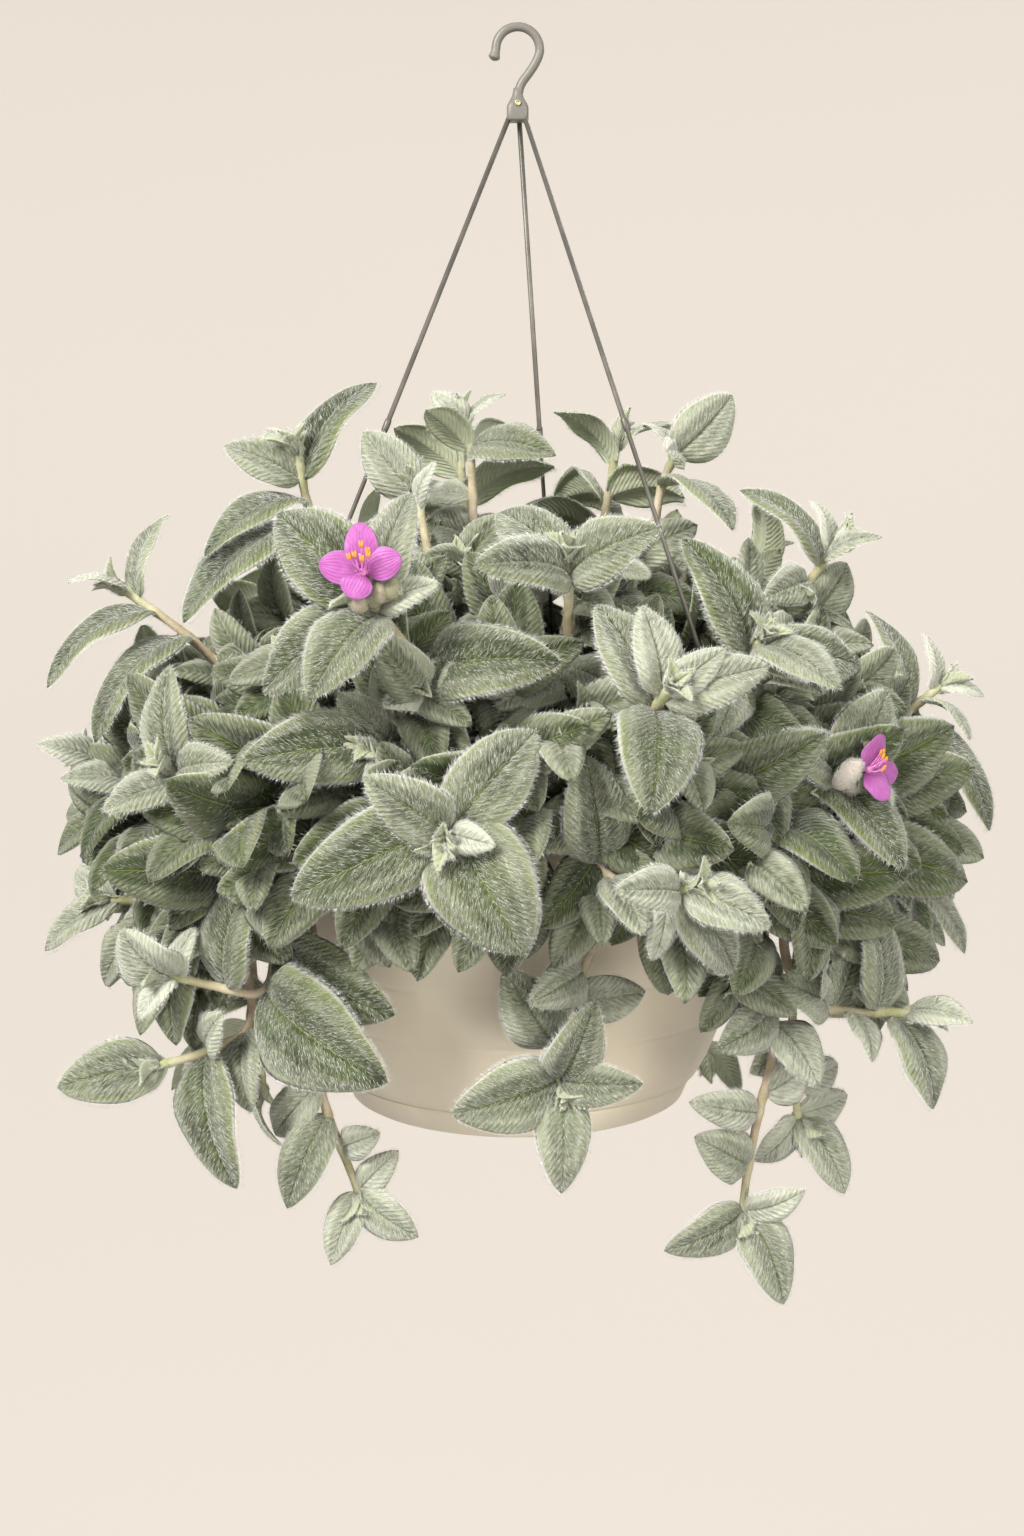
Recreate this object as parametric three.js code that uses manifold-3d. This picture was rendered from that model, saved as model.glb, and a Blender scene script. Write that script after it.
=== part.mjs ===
// A white velvet spiderwort in a hanging basket: a moulded hook, three wires, a bowl basket with a
// clip-on drip saucer, the soil, and every leafy stem as a body of its own. Millimetres, +Z up.
// The origin is the inside top of the hook, the point that the whole thing hangs from.
// The front of the basket looks along -Y and its right side is +X.

import * as THREE from "three";
import { mergeVertices } from "three/addons/utils/BufferGeometryUtils.js";
import Module from "manifold-3d";

const wasm = await Module();
wasm.setup();

// ---------------------------------------------------------------- driving dimensions
const RIM_RADIUS = 127; // a ten-inch basket
const RIM_Z = -330;
const SEAM_Z = -464;
const BASE_Z = -476;
const SEAM_RADIUS = 82.6;
const BASE_RADIUS = 74;
const WALL = 2;
const BOWL_POWER = 0.75; // how quickly the wall swells out from its foot
const ROUND_SIDES = 28;
const GAP = 0.3; // between faces that touch

const HOOK_ROD = 2;
const HOOK_INSIDE = 7.6;
const HOOK_STEPS = 17;
const HUB_WIDTH = 9.6;
const HUB_DEPTH = 8.4;
const HUB_TOP_Z = -26;
const HUB_SHOULDER_Z = -31.5;
const HUB_BOTTOM_Z = -38.2;
const PIN_RADIUS = 0.8;
const PIN_Z = -30.9;

const WIRE_RADIUS = 1.1;
const WIRE_TOP_REACH = 3;
const WIRE_FOOT_REACH = 130.5;
const WIRE_ANGLES = { left: 202, right: 318, rear: 80 }; // degrees from +X towards the rear
const LUG_WIDTH = 10;
const LUG_THICK = 3;

const SOIL_Z = -342;
const SOIL_CROWN = 3;
const ROOT_DEPTH = 12;
const DRAIN_HOLES = 4;
const DRAIN_RADIUS = 4;

const STEM_SIDES = 4;
const STEM_STEP = 62; // a longer stretch of stem has a ring at its middle too
const SPAN_STEPS = 8; // points on each span of a stem's curve
const NARROWEST = 0.44; // the least width of a leaf, as a share of its length
const ROOT_OFFSET = 1.2; // from a stem's middle to a leaf's root, inside the stem
const LEAF_CLEAR = 0.45; // room kept round a leaf for what grows next to it
// A blade's outline is pairs of the share of its length and the share of its width there. Fold is
// the angle that each half stands up from the midrib, and arch how far the middle is lifted.
const LEAF = { outline: [[0.28, 0.96], [0.68, 0.8]], thick: 2, fold: 24, arch: 0.28 };
const YOUNG = { outline: [[0.45, 1]], thick: 1.8, fold: 30, arch: 0.2 };
const PETAL = { outline: [[0.35, 0.62], [0.66, 1], [0.92, 0.66]], thick: 1.2, fold: 8, arch: 0.12 };
const SEPAL = { outline: [[0.5, 1]], thick: 1.4, fold: 20, arch: 0.2 };

const UP = new THREE.Vector3(0, 0, 1);
const FRONT_LIGHT = new THREE.Vector3(0, -1, 0);

// ---------------------------------------------------------------- small helpers
const at = (x, y, z) => new THREE.Vector3(x, y, z);
const radians = (degrees) => (degrees * Math.PI) / 180;
const polar = (angle, reach, z) => at(reach * Math.cos(radians(angle)), reach * Math.sin(radians(angle)), z);

// A number from 0 to 1 that is always the same for the same plant part.
function draw(stem, leaf, use) {
  const wave = Math.sin(stem * 12.9898 + leaf * 78.233 + use * 37.719) * 43758.5453;
  return wave - Math.floor(wave);
}

// A closed geometry turned into a solid that can be joined and cut.
function solid(geometry) {
  const plain = geometry.clone();
  plain.deleteAttribute("normal");
  plain.deleteAttribute("uv");
  const merged = mergeVertices(plain, 1e-4);
  const corners = merged.index.array;
  const triangles = [];
  for (let i = 0; i < corners.length; i += 3) {
    const [a, b, c] = [corners[i], corners[i + 1], corners[i + 2]];
    if (a !== b && b !== c && c !== a) {
      triangles.push(a, b, c);
    }
  }
  return solidOf(merged.attributes.position.array, triangles);
}

function solidOf(numbers, triangles) {
  const mesh = new wasm.Mesh({
    numProp: 3,
    vertProperties: new Float32Array(numbers),
    triVerts: new Uint32Array(triangles),
  });
  return new wasm.Manifold(mesh);
}

// Six times the room inside a closed skin, below zero where its faces point inwards.
function roomInside(points, triangles) {
  let sum = 0;
  for (let i = 0; i < triangles.length; i += 3) {
    const [a, b, c] = [points[triangles[i]], points[triangles[i + 1]], points[triangles[i + 2]]];
    sum += a.dot(b.clone().cross(c));
  }
  return sum;
}

// A closed skin over rings of points, with a point at each end.
function skin(start, rings, end) {
  const sides = rings[0].length;
  const points = [start, ...rings.flat(), end];
  const last = points.length - 1;
  const triangles = [];
  for (let side = 0; side < sides; side += 1) {
    const next = (side + 1) % sides;
    triangles.push(0, 1 + next, 1 + side);
    for (let ring = 0; ring + 1 < rings.length; ring += 1) {
      const here = 1 + ring * sides;
      const beyond = here + sides;
      triangles.push(here + side, here + next, beyond + next);
      triangles.push(here + side, beyond + next, beyond + side);
    }
    const final = 1 + (rings.length - 1) * sides;
    triangles.push(final + side, final + next, last);
  }
  const facing = roomInside(points, triangles) < 0 ? triangles.reverse() : triangles;
  return solidOf(points.flatMap((point) => point.toArray()), facing);
}

function ringRound(middle, first, second, radius, sides) {
  const ring = [];
  for (let side = 0; side < sides; side += 1) {
    const angle = (2 * Math.PI * side) / sides;
    const point = middle.clone().addScaledVector(first, radius * Math.cos(angle));
    ring.push(point.addScaledVector(second, radius * Math.sin(angle)));
  }
  return ring;
}

// Rings round a line of points, each ring square to the line.
function tube(line, radius, sides) {
  const rings = [];
  let across = at(1, 0, 0);
  for (let i = 0; i < line.length; i += 1) {
    const ahead = line[Math.min(i + 1, line.length - 1)];
    const along = ahead.clone().sub(line[Math.max(i - 1, 0)]).normalize();
    across = across.clone().addScaledVector(along, -across.dot(along)).normalize();
    const size = radius(i / (line.length - 1));
    rings.push(ringRound(line[i], across, along.clone().cross(across), size, sides));
  }
  return skin(line[0], rings, line[line.length - 1]);
}

const lathe = (profile) => {
  const points = profile.map(([radius, z]) => new THREE.Vector2(radius, z));
  return solid(new THREE.LatheGeometry(points, ROUND_SIDES).rotateX(Math.PI / 2));
};

// A round bar along a curve.
function bar(curve, radius, sides, steps) {
  const round = new THREE.Shape();
  for (let side = 0; side <= sides; side += 1) {
    const angle = (2 * Math.PI * side) / sides;
    const move = side === 0 ? "moveTo" : "lineTo";
    round[move](radius * Math.cos(angle), radius * Math.sin(angle));
  }
  return solid(new THREE.ExtrudeGeometry(round, { steps, extrudePath: curve, bevelEnabled: false }));
}

const straightBar = (from, to, radius, sides) => bar(new THREE.LineCurve3(from, to), radius, sides, 1);

const group = new THREE.Group();
const placed = []; // every solid that stands already, with the node that owns it

// The outer skin of a body that was joined from many, without any pocket sealed inside it.
function outerSkin(body) {
  const skins = body.decompose();
  return skins.reduce((most, other) => (other.volume() > most.volume() ? other : most));
}

function finish(name, body, colour, roughness, metalness = 0) {
  const mesh = outerSkin(body).getMesh();
  const geometry = new THREE.BufferGeometry();
  geometry.setAttribute("position", new THREE.BufferAttribute(new Float32Array(mesh.vertProperties), 3));
  geometry.setIndex(new THREE.BufferAttribute(new Uint32Array(mesh.triVerts), 1));
  geometry.computeVertexNormals();
  const material = new THREE.MeshStandardMaterial({ color: colour, roughness, metalness });
  const piece = new THREE.Mesh(geometry, material);
  piece.name = name;
  group.add(piece);
}

function claim(owner, body) {
  const { min, max } = body.boundingBox();
  placed.push({ owner, body, min, max });
}

// Whether a body would touch anything that another node owns.
function meets(body, owner) {
  const { min, max } = body.boundingBox();
  return placed.some((other) => {
    const apart = [0, 1, 2].some((axis) => other.min[axis] > max[axis] || other.max[axis] < min[axis]);
    return !apart && other.owner !== owner && !body.intersect(other.body).isEmpty();
  });
}

// ---------------------------------------------------------------- hook, hub and pin
const SMOKE = 0x979186;

function hookLine() {
  const bend = HOOK_INSIDE + HOOK_ROD;
  const points = [at(-10.8, 0, -12.2)];
  for (let angle = 180; angle >= -10; angle -= 19) {
    points.push(polar(angle, bend, 0));
    const point = points[points.length - 1];
    point.set(point.x, 0, point.y - HOOK_INSIDE);
  }
  points.push(at(7.7, 0, -13.4), at(4.9, 0, -17.6), at(1.8, 0, -21.8), at(0.4, 0, -26), at(0, 0, -33));
  return new THREE.CatmullRomCurve3(points, false, "centripetal");
}

function makeHook() {
  const curve = hookLine();
  const ball = new THREE.SphereGeometry(HOOK_ROD * 1.12, 8, 4);
  const end = curve.getPoint(0);
  const neck = HOOK_ROD * 1.05;
  const half = HUB_WIDTH / 2;
  const outline = new THREE.Shape();
  outline.moveTo(-neck, HUB_TOP_Z);
  outline.lineTo(-half, HUB_SHOULDER_Z);
  outline.lineTo(-half, HUB_BOTTOM_Z + 0.6);
  outline.lineTo(-half + 0.6, HUB_BOTTOM_Z);
  outline.lineTo(half - 0.6, HUB_BOTTOM_Z);
  outline.lineTo(half, HUB_BOTTOM_Z + 0.6);
  outline.lineTo(half, HUB_SHOULDER_Z);
  outline.lineTo(neck, HUB_TOP_Z);
  outline.closePath();
  const hub = new THREE.ExtrudeGeometry(outline, { depth: HUB_DEPTH, bevelEnabled: false });
  hub.rotateX(Math.PI / 2);
  hub.translate(0, HUB_DEPTH / 2, 0);
  let body = bar(curve, HOOK_ROD, 8, HOOK_STEPS);
  body = body.add(solid(ball.translate(end.x, end.y, end.z)));
  body = body.add(solid(hub));
  for (const angle of Object.values(WIRE_ANGLES)) {
    const [top, foot] = wireEnds(angle);
    const along = foot.clone().sub(top).normalize();
    const above = top.clone().addScaledVector(along, -GAP - 0.2);
    const below = top.clone().addScaledVector(along, 9);
    body = body.subtract(straightBar(above, below, WIRE_RADIUS + GAP + 0.05, 8));
  }
  const room = PIN_RADIUS + GAP;
  return body.subtract(straightBar(at(0, -HUB_DEPTH, PIN_Z), at(0, HUB_DEPTH, PIN_Z), room, 8));
}

function makePin() {
  const reach = HUB_DEPTH / 2 + GAP;
  const shank = straightBar(at(0, -reach, PIN_Z), at(0, reach, PIN_Z), PIN_RADIUS, 8);
  const heads = [-1, 1].map((side) => {
    const from = at(0, side * reach, PIN_Z);
    return straightBar(from, at(0, side * (reach + 0.5), PIN_Z), PIN_RADIUS * 1.6, 8);
  });
  return shank.add(heads[0]).add(heads[1]);
}

// ---------------------------------------------------------------- wires
function wireEnds(angle) {
  return [polar(angle, WIRE_TOP_REACH, HUB_BOTTOM_Z + 4), polar(angle, WIRE_FOOT_REACH, RIM_Z)];
}

// A wire runs straight to its lug, drops through it and turns out under it.
function makeWire(angle) {
  const [top, foot] = wireEnds(angle);
  const along = foot.clone().sub(top).normalize();
  const under = foot.clone().addScaledVector(along, 7.4);
  const toe = under.clone().add(polar(angle, 5, 0)).add(at(0, 0, -0.6));
  const line = [top, foot.clone().lerp(top, 0.5), foot.clone().lerp(top, 0.03), under, toe];
  return tube(line, () => WIRE_RADIUS, 8);
}

// ---------------------------------------------------------------- basket, saucer and soil
function wallRadius(z) {
  const up = (z - SEAM_Z) / (RIM_Z - SEAM_Z);
  return SEAM_RADIUS + (RIM_RADIUS - 2 - SEAM_RADIUS) * Math.max(up, 0) ** BOWL_POWER;
}

// Points up or down the bowl's wall, moved in from its outer face.
function wallPoints(inset, levels) {
  return levels.map((z) => [wallRadius(z) - inset, z]);
}

const LEVELS = [SEAM_Z + 6, -405, RIM_Z - 9];
const FLOOR_Z = SEAM_Z + 2.4;

function makeBasket() {
  const spigot = BASE_RADIUS - 2.4;
  const profile = [
    [0, SEAM_Z + GAP],
    [spigot - 2, SEAM_Z + GAP],
    [spigot - 2, BASE_Z + 2.4],
    [spigot, BASE_Z + 2.4],
    [spigot, SEAM_Z + GAP],
    [SEAM_RADIUS, SEAM_Z + GAP],
    ...wallPoints(0, LEVELS),
    [RIM_RADIUS + 1.4, RIM_Z - 7],
    [RIM_RADIUS + 1, RIM_Z],
    [RIM_RADIUS - 3, RIM_Z],
    ...wallPoints(WALL, [...LEVELS].reverse()),
    [SEAM_RADIUS - WALL, FLOOR_Z],
    [0, FLOOR_Z],
  ];
  let body = lathe(profile);
  for (const angle of Object.values(WIRE_ANGLES)) {
    const lug = new THREE.BoxGeometry(11, LUG_WIDTH, LUG_THICK);
    lug.translate(RIM_RADIUS + 3.4, 0, RIM_Z - 0.4 - LUG_THICK / 2);
    lug.rotateZ(radians(angle));
    body = body.add(solid(lug));
    const [top, foot] = wireEnds(angle);
    const along = foot.clone().sub(top).normalize();
    const above = foot.clone().addScaledVector(along, -6);
    const below = foot.clone().addScaledVector(along, 6.4);
    body = body.subtract(straightBar(above, below, WIRE_RADIUS + GAP + 0.15, 8));
  }
  for (let hole = 0; hole < DRAIN_HOLES; hole += 1) {
    const place = polar(45 + (360 * hole) / DRAIN_HOLES, 48, 0);
    const [low, high] = [at(place.x, place.y, SEAM_Z - 2), at(place.x, place.y, FLOOR_Z + 2)];
    body = body.subtract(straightBar(low, high, DRAIN_RADIUS, 6));
  }
  return body;
}

function makeSaucer() {
  const rim = SEAM_RADIUS - 1.1;
  return lathe([
    [0, BASE_Z],
    [BASE_RADIUS, BASE_Z],
    [BASE_RADIUS + 3.2, BASE_Z + 1.8],
    [rim, SEAM_Z],
    [rim - WALL, SEAM_Z],
    [BASE_RADIUS + 1.6, BASE_Z + 3],
    [BASE_RADIUS, BASE_Z + WALL],
    [0, BASE_Z + WALL],
  ]);
}

function makeSoil() {
  const inset = WALL + GAP;
  const levels = [FLOOR_Z + 4, -405, SOIL_Z];
  let body = lathe([
    [0, FLOOR_Z + GAP],
    [SEAM_RADIUS - inset, FLOOR_Z + GAP],
    ...wallPoints(inset, levels),
    [0, SOIL_Z + SOIL_CROWN],
  ]);
  for (const shoot of SHOOTS) {
    const [x, y] = shoot.foot;
    const top = at(x, y, SOIL_Z + SOIL_CROWN + 3);
    const bottom = at(x, y, SOIL_Z - ROOT_DEPTH - 1);
    body = body.subtract(straightBar(top, bottom, shoot.thick + 1, 4));
  }
  return body;
}

// ---------------------------------------------------------------- leafy stems
// Each stem: where it stands in the soil, the points its curve passes, the radius it has at its
// foot, and its leaves. A leaf is how far back from the stem's end it sits, how far its own end
// reaches to the right, to the rear and up from there, and how wide it is.
const FRONT_STEMS = [
  { name: "stem_flowering_front", foot: [-14, -50], thick: 3.2,
    path: [[-20, -95, -316], [-27, -118, -293], [-36, -135, -270], [-47, -150, -253], [-55, -160, -241]],
    leaves: [[2, -38, 24, 34, 28], [2, 14, 8, 42, 20], [4, 24, -8, 10, 12], [6, -24, -28, -30, 24],
      [4, -44, 8, -32, 18], [42, 52, -24, 6, 27], [55, -20, -22, -2, 15]] },
  { name: "stem_front_rosette", foot: [0, -62], thick: 3,
    path: [[-4, -100, -312], [-18, -155, -316], [-26, -184, -326]],
    leaves: [[4, -31, -15, 23, 20], [3, 17, -15, -2, 11], [6, 31, 15, 35, 26], [8, 26, -14, -45, 36],
      [12, -62, 0, -29, 29]] },
  { name: "stem_centre", foot: [10, -38], thick: 3,
    path: [[17, -85, -300], [19, -107, -268], [20, -115, -241], [20, -120, -227]],
    leaves: [[6, -37, -32, 5, 16], [6, 34, -22, 19, 23], [4, -28, 32, 22, 19], [45, 30, -20, -15, 20],
      [48, -28, -25, -12, 20]] },
  { name: "stem_right_of_centre", foot: [28, -46], thick: 3,
    path: [[36, -95, -316], [42, -125, -298], [50, -150, -284], [56, -166, -273]],
    leaves: [[6, -8, 4, 34, 17], [14, -22, 10, 38, 22], [4, 22, -15, 14, 13], [8, 38, -22, 6, 20],
      [16, -4, -40, -34, 29]] },
  { name: "stem_right_upper", foot: [44, -34], thick: 3,
    path: [[66, -62, -305], [76, -80, -292], [89, -110, -270], [95, -120, -258]],
    leaves: [[8, -28, -3, 46, 23], [4, 29, -30, -14, 14], [8, 46, 20, -6, 17], [26, -10, -32, -20, 17]] },
  { name: "stem_front_low", foot: [14, -84], thick: 3,
    path: [[20, -122, -320], [32, -148, -344], [50, -162, -352], [64, -170, -348]],
    leaves: [[4, -26, -24, 5, 14], [2, 16, 2, 12, 11], [2, 28, -18, -12, 19], [10, -10, 0, -50, 22],
      [6, 10, 6, -50, 25], [36, -20, -28, -32, 23], [44, -6, -12, 44, 25]] },
  { name: "stem_flowering_right", foot: [62, -28], thick: 3,
    path: [[78, -48, -312], [102, -70, -309], [121, -94, -314], [133, -110, -312]],
    leaves: [[8, 22, 8, 33, 26], [10, -28, -28, 18, 15], [22, 33, -34, -35, 25], [40, -8, -28, -18, 21]] },
  { name: "stem_right_low", foot: [72, -44], thick: 2.9,
    path: [[110, -74, -319], [113, -90, -348], [110, -98, -385], [117, -101, -403], [130, -106, -411],
      [161, -112, -411]],
    leaves: [[2, 26, -14, 1, 14], [8, 16, -8, -38, 22], [34, -42, -36, -18, 28], [26, 2, -6, -40, 21],
      [32, 9, 20, 35, 19], [14, -5, 14, 44, 22], [58, 8, -36, 6, 20]] },
  { name: "stem_right_trailing", foot: [60, -62], thick: 2.7,
    path: [[88, -98, -319], [98, -110, -352], [101, -110, -393], [105, -112, -422], [99, -109, -456],
      [95, -106, -484], [94, -105, -499]],
    leaves: [[2, -34, -15, -12, 16], [2, 24, -10, 12, 13], [3, 16, -10, -38, 20], [22, -24, -14, 17, 19],
      [46, -30, -12, 8, 13], [54, 18, 8, 10, 17], [85, 25, -25, -10, 22], [92, -24, -20, -12, 20]] },
  { name: "stem_right_short_trail", foot: [78, -30], thick: 2.6,
    path: [[117, -62, -318], [124, -73, -348], [117, -84, -400], [116, -88, -435], [119, -88, -464]],
    leaves: [[2, 19, -8, -31, 18], [3, 22, 8, 6, 14], [2, -14, -4, -22, 14], [16, 19, 8, 7, 16],
      [40, -20, -18, -14, 17], [60, 22, -18, -10, 19]] },
  { name: "stem_front_trailing", foot: [32, -88], thick: 2.7,
    path: [[40, -124, -319], [38, -136, -345], [31, -131, -375], [22, -131, -398], [14, -134, -420],
      [17, -141, -434]],
    leaves: [[4, -42, -17, -9, 25], [4, 32, -20, 4, 16], [4, 18, -28, 30, 19], [1, 0, -6, -41, 19],
      [18, -20, -4, 32, 22], [36, 30, 2, 4, 17], [50, -22, -22, -8, 18]] },
  { name: "stem_left_low", foot: [-70, -48], thick: 2.9,
    path: [[-90, -97, -318], [-99, -106, -348], [-99, -112, -385], [-104, -116, -401],
      [-123, -118, -398], [-141, -120, -393]],
    leaves: [[2, -20, -7, 22, 24], [3, -16, -12, -11, 12], [4, 8, -2, 21, 12], [24, 14, -3, 51, 25],
      [40, 52, -40, -27, 38], [56, 50, -24, -20, 30]] },
  { name: "stem_left_lower", foot: [-84, -28], thick: 2.8,
    path: [[-117, -66, -318], [-121, -81, -348], [-113, -93, -395], [-112, -98, -420],
      [-127, -106, -428], [-147, -112, -433]],
    leaves: [[2, -44, -4, 2, 23], [4, -22, -8, -23, 18], [20, 14, -19, -52, 26], [40, 22, -8, -47, 27],
      [22, 8, -17, 20, 15], [30, -20, 10, -24, 16]] },
  { name: "stem_left_trailing", foot: [-56, -66], thick: 2.7,
    path: [[-80, -105, -318], [-86, -115, -348], [-82, -111, -395], [-84, -108, -425],
      [-80, -105, -452], [-72, -104, -475], [-66, -104, -491]],
    leaves: [[2, 17, -2, 18, 12], [1, 25, -11, -15, 16], [2, -11, -8, -29, 14], [22, 17, -8, 9, 13],
      [38, -16, -11, -37, 17], [52, -20, 14, -27, 15], [70, 20, -22, -10, 18], [95, -22, -22, -8, 20]] },
  { name: "stem_top_far_left", foot: [-30, -8], thick: 2.8,
    path: [[-66, -4, -270], [-84, -8, -230], [-93, -16, -205], [-96, -22, -183]],
    leaves: [[12, -34, 1, 15, 18], [12, 32, 16, 43, 20], [22, -41, -30, -23, 18], [36, -52, -50, -38, 22],
      [5, -13, 9, 20, 11]] },
  { name: "stem_left_upper", foot: [-48, -10], thick: 2.8,
    path: [[-90, -18, -300], [-121, -26, -283], [-149, -25, -260], [-175, -15, -243]],
    leaves: [[2, -29, -5, 0, 13], [8, 11, 17, 37, 16], [18, -44, -20, -32, 20], [38, -36, -33, -43, 24],
      [55, 20, -35, -10, 20]] },
  { name: "stem_left_shoulder", foot: [-42, -40], thick: 2.9,
    path: [[-80, -64, -313], [-103, -84, -321], [-120, -104, -326], [-138, -122, -309]],
    leaves: [[4, -3, 5, 43, 17], [4, 26, -25, 8, 16], [3, -16, -8, 9, 10], [12, -32, -19, -8, 17],
      [28, -12, -20, -24, 18]] },
  { name: "stem_left_side", foot: [-66, -14], thick: 2.8,
    path: [[-112, -20, -317], [-138, -32, -332], [-161, -38, -329], [-185, -30, -318]],
    leaves: [[2, -28, -5, 10, 14], [24, -42, -12, -34, 18], [32, -30, -32, -46, 22], [12, 0, 20, 32, 16],
      [45, 10, -30, -30, 20]] },
  { name: "stem_left_drooping", foot: [-86, -2], thick: 2.7,
    path: [[-130, -3, -317], [-143, -10, -343], [-145, -26, -368], [-158, -40, -378], [-179, -46, -377]],
    leaves: [[4, -31, -10, -22, 16], [14, -18, -14, -41, 18], [3, -26, 16, 9, 13], [34, -20, -30, -30, 20],
      [60, -25, -15, -20, 20]] },
  { name: "stem_left_of_centre", foot: [-28, -44], thick: 2.8,
    path: [[-34, -84, -312], [-38, -105, -302], [-49, -126, -299], [-56, -136, -299]],
    leaves: [[6, -46, -34, -14, 28], [14, -19, -16, 22, 18], [2, 8, -18, -16, 15]] },
  { name: "stem_top_right", foot: [22, -6], thick: 2.8,
    path: [[46, -28, -262], [57, -34, -229], [63, -22, -198], [71, -12, -181]],
    leaves: [[4, 24, 9, 27, 22], [3, -11, 14, 18, 12], [8, -24, -22, 6, 16], [20, 27, -38, -19, 18],
      [40, -28, -20, -10, 18], [44, 26, 10, -14, 20]] },
  { name: "stem_top_far_right", foot: [40, -4], thick: 2.8,
    path: [[74, -18, -290], [98, -28, -264], [125, -20, -243], [142, -12, -223]],
    leaves: [[12, -37, -4, 33, 18], [6, 1, 14, 30, 14], [2, 12, 2, 11, 10], [10, 36, -20, -17, 16],
      [22, -24, -31, -6, 17], [45, 24, -32, -18, 20], [50, -20, 25, 15, 18]] },
  { name: "stem_right_side", foot: [60, -4], thick: 2.8,
    path: [[104, -16, -314], [147, -28, -316], [173, -20, -298], [190, -12, -286]],
    leaves: [[22, -16, 15, 45, 20], [5, -3, 9, 26, 12], [1, 20, -3, -4, 11], [12, 17, -22, -15, 15],
      [26, 34, -32, -45, 22], [50, 14, -36, -20, 22], [48, -10, 30, 20, 20]] },
  { name: "stem_top_centre", foot: [-6, 8], thick: 2.8,
    path: [[-14, 0, -270], [-19, -6, -227], [-21, 4, -184], [-23, 10, -168]],
    leaves: [[2, -16, 0, 15, 12], [2, 15, 5, 19, 14], [14, 38, -26, -3, 18], [14, -19, -21, 17, 14],
      [36, -30, -24, -8, 18], [50, 26, 26, -6, 20], [54, -24, 24, 4, 20]] },
  { name: "stem_top_left", foot: [-16, -14], thick: 2.8,
    path: [[-30, -34, -262], [-38, -40, -229], [-44, -31, -199]],
    leaves: [[3, -22, 10, 28, 20], [3, 10, 10, 15, 11], [8, 22, -26, 8, 15], [30, -26, -24, -8, 20],
      [40, 26, -22, -14, 20]] },
  { name: "stem_right_drooping", foot: [84, -8], thick: 2.7,
    path: [[130, -16, -317], [141, -30, -343], [147, -44, -362], [160, -50, -367], [178, -50, -370]],
    leaves: [[2, 23, 5, 7, 13], [10, 23, -20, -27, 18], [20, 0, -30, -28, 20], [26, -14, -30, -24, 19],
      [45, 20, -25, -30, 20]] },
];

// The rear half grows by one rule. Each row: the height the stems end at, how far out they end and
// stand, the height they pass the rim at, and the angles that they leave at.
const REAR_TIERS = [
  { name: "crown", endZ: -182, reach: 62, foot: 22, over: -262, angles: [42, 118] },
  { name: "dome", endZ: -236, reach: 136, foot: 42, over: -292, angles: [28, 62, 98, 146] },
  { name: "side", endZ: -306, reach: 190, foot: 66, over: -312, angles: [18, 47, 92, 122, 160] },
  { name: "low", endZ: -378, reach: 176, foot: 88, over: -317, angles: [33, 64, 106, 138, 172] },
  { name: "trail", endZ: -492, reach: 138, foot: 104, over: -317, angles: [50, 122, 155] },
];
const REAR_LEAVES = 6;

function rearStems() {
  const stems = [];
  REAR_TIERS.forEach((tier, row) => {
    tier.angles.forEach((angle, column) => {
      const sway = 8 * (draw(row + 40, column, 1) - 0.5);
      const ending = angle + sway;
      const out = tier.reach * (0.95 + 0.1 * draw(row + 40, column, 2));
      const endZ = tier.endZ + 14 * (draw(row + 40, column, 3) - 0.5);
      const foot = polar(angle, tier.foot, 0);
      const hangs = tier.endZ < RIM_Z - 20;
      const path = [polar(angle, hangs ? 126 : tier.reach * 0.62, tier.over)];
      if (hangs) {
        path.push(polar(angle, 146, -348));
        path.push(polar((angle + ending) / 2, (146 + out) / 2 + 2, (endZ - 354) / 2));
      } else {
        path.push(polar((angle + ending) / 2, out * 0.86, (tier.over + endZ) / 2 + 2));
      }
      path.push(polar(ending, out, endZ));
      stems.push({
        name: `stem_rear_${tier.name}_${column + 1}`,
        foot: [foot.x, foot.y],
        thick: 2.8,
        path: path.map((point) => point.toArray()),
        leaves: REAR_LEAVES,
      });
    });
  });
  return stems;
}

const SHOOTS = [...FRONT_STEMS, ...rearStems()];

// Points close together along a stem, from the soil to its end.
function stemLine(shoot) {
  const [x, y] = shoot.foot;
  const knots = [at(x, y, SOIL_Z + 4), ...shoot.path.map((point) => at(...point))];
  const line = [];
  for (let span = 0; span + 1 < knots.length; span += 1) {
    const [here, next] = [knots[span], knots[span + 1]];
    const before = knots[span - 1] ?? at(here.x, here.y, here.z - 30);
    const after = knots[span + 2] ?? next.clone().multiplyScalar(2).sub(here);
    for (let step = 0; step < SPAN_STEPS; step += 1) {
      line.push(smooth(before, here, next, after, step / SPAN_STEPS));
    }
  }
  line.push(knots[knots.length - 1]);
  return line;
}

// A point on the smooth curve that runs from here to next.
function smooth(before, here, next, after, t) {
  const axes = ["x", "y", "z"].map((axis) => {
    const [a, b, c, d] = [before[axis], here[axis], next[axis], after[axis]];
    const cubic = 3 * b - a - 3 * c + d;
    return b + 0.5 * t * (c - a + t * (2 * a - 5 * b + 4 * c - d + t * cubic));
  });
  return at(...axes);
}

// The place, and the direction towards the end, at a distance back from a stem's end.
function backFromEnd(line, back) {
  let left = back;
  for (let i = line.length - 1; i > 0; i -= 1) {
    const piece = line[i].clone().sub(line[i - 1]);
    const length = piece.length();
    if (left <= length || i === 1) {
      const along = piece.divideScalar(length);
      return { place: line[i].clone().addScaledVector(along, -left), along };
    }
    left -= length;
  }
  return null;
}

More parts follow.
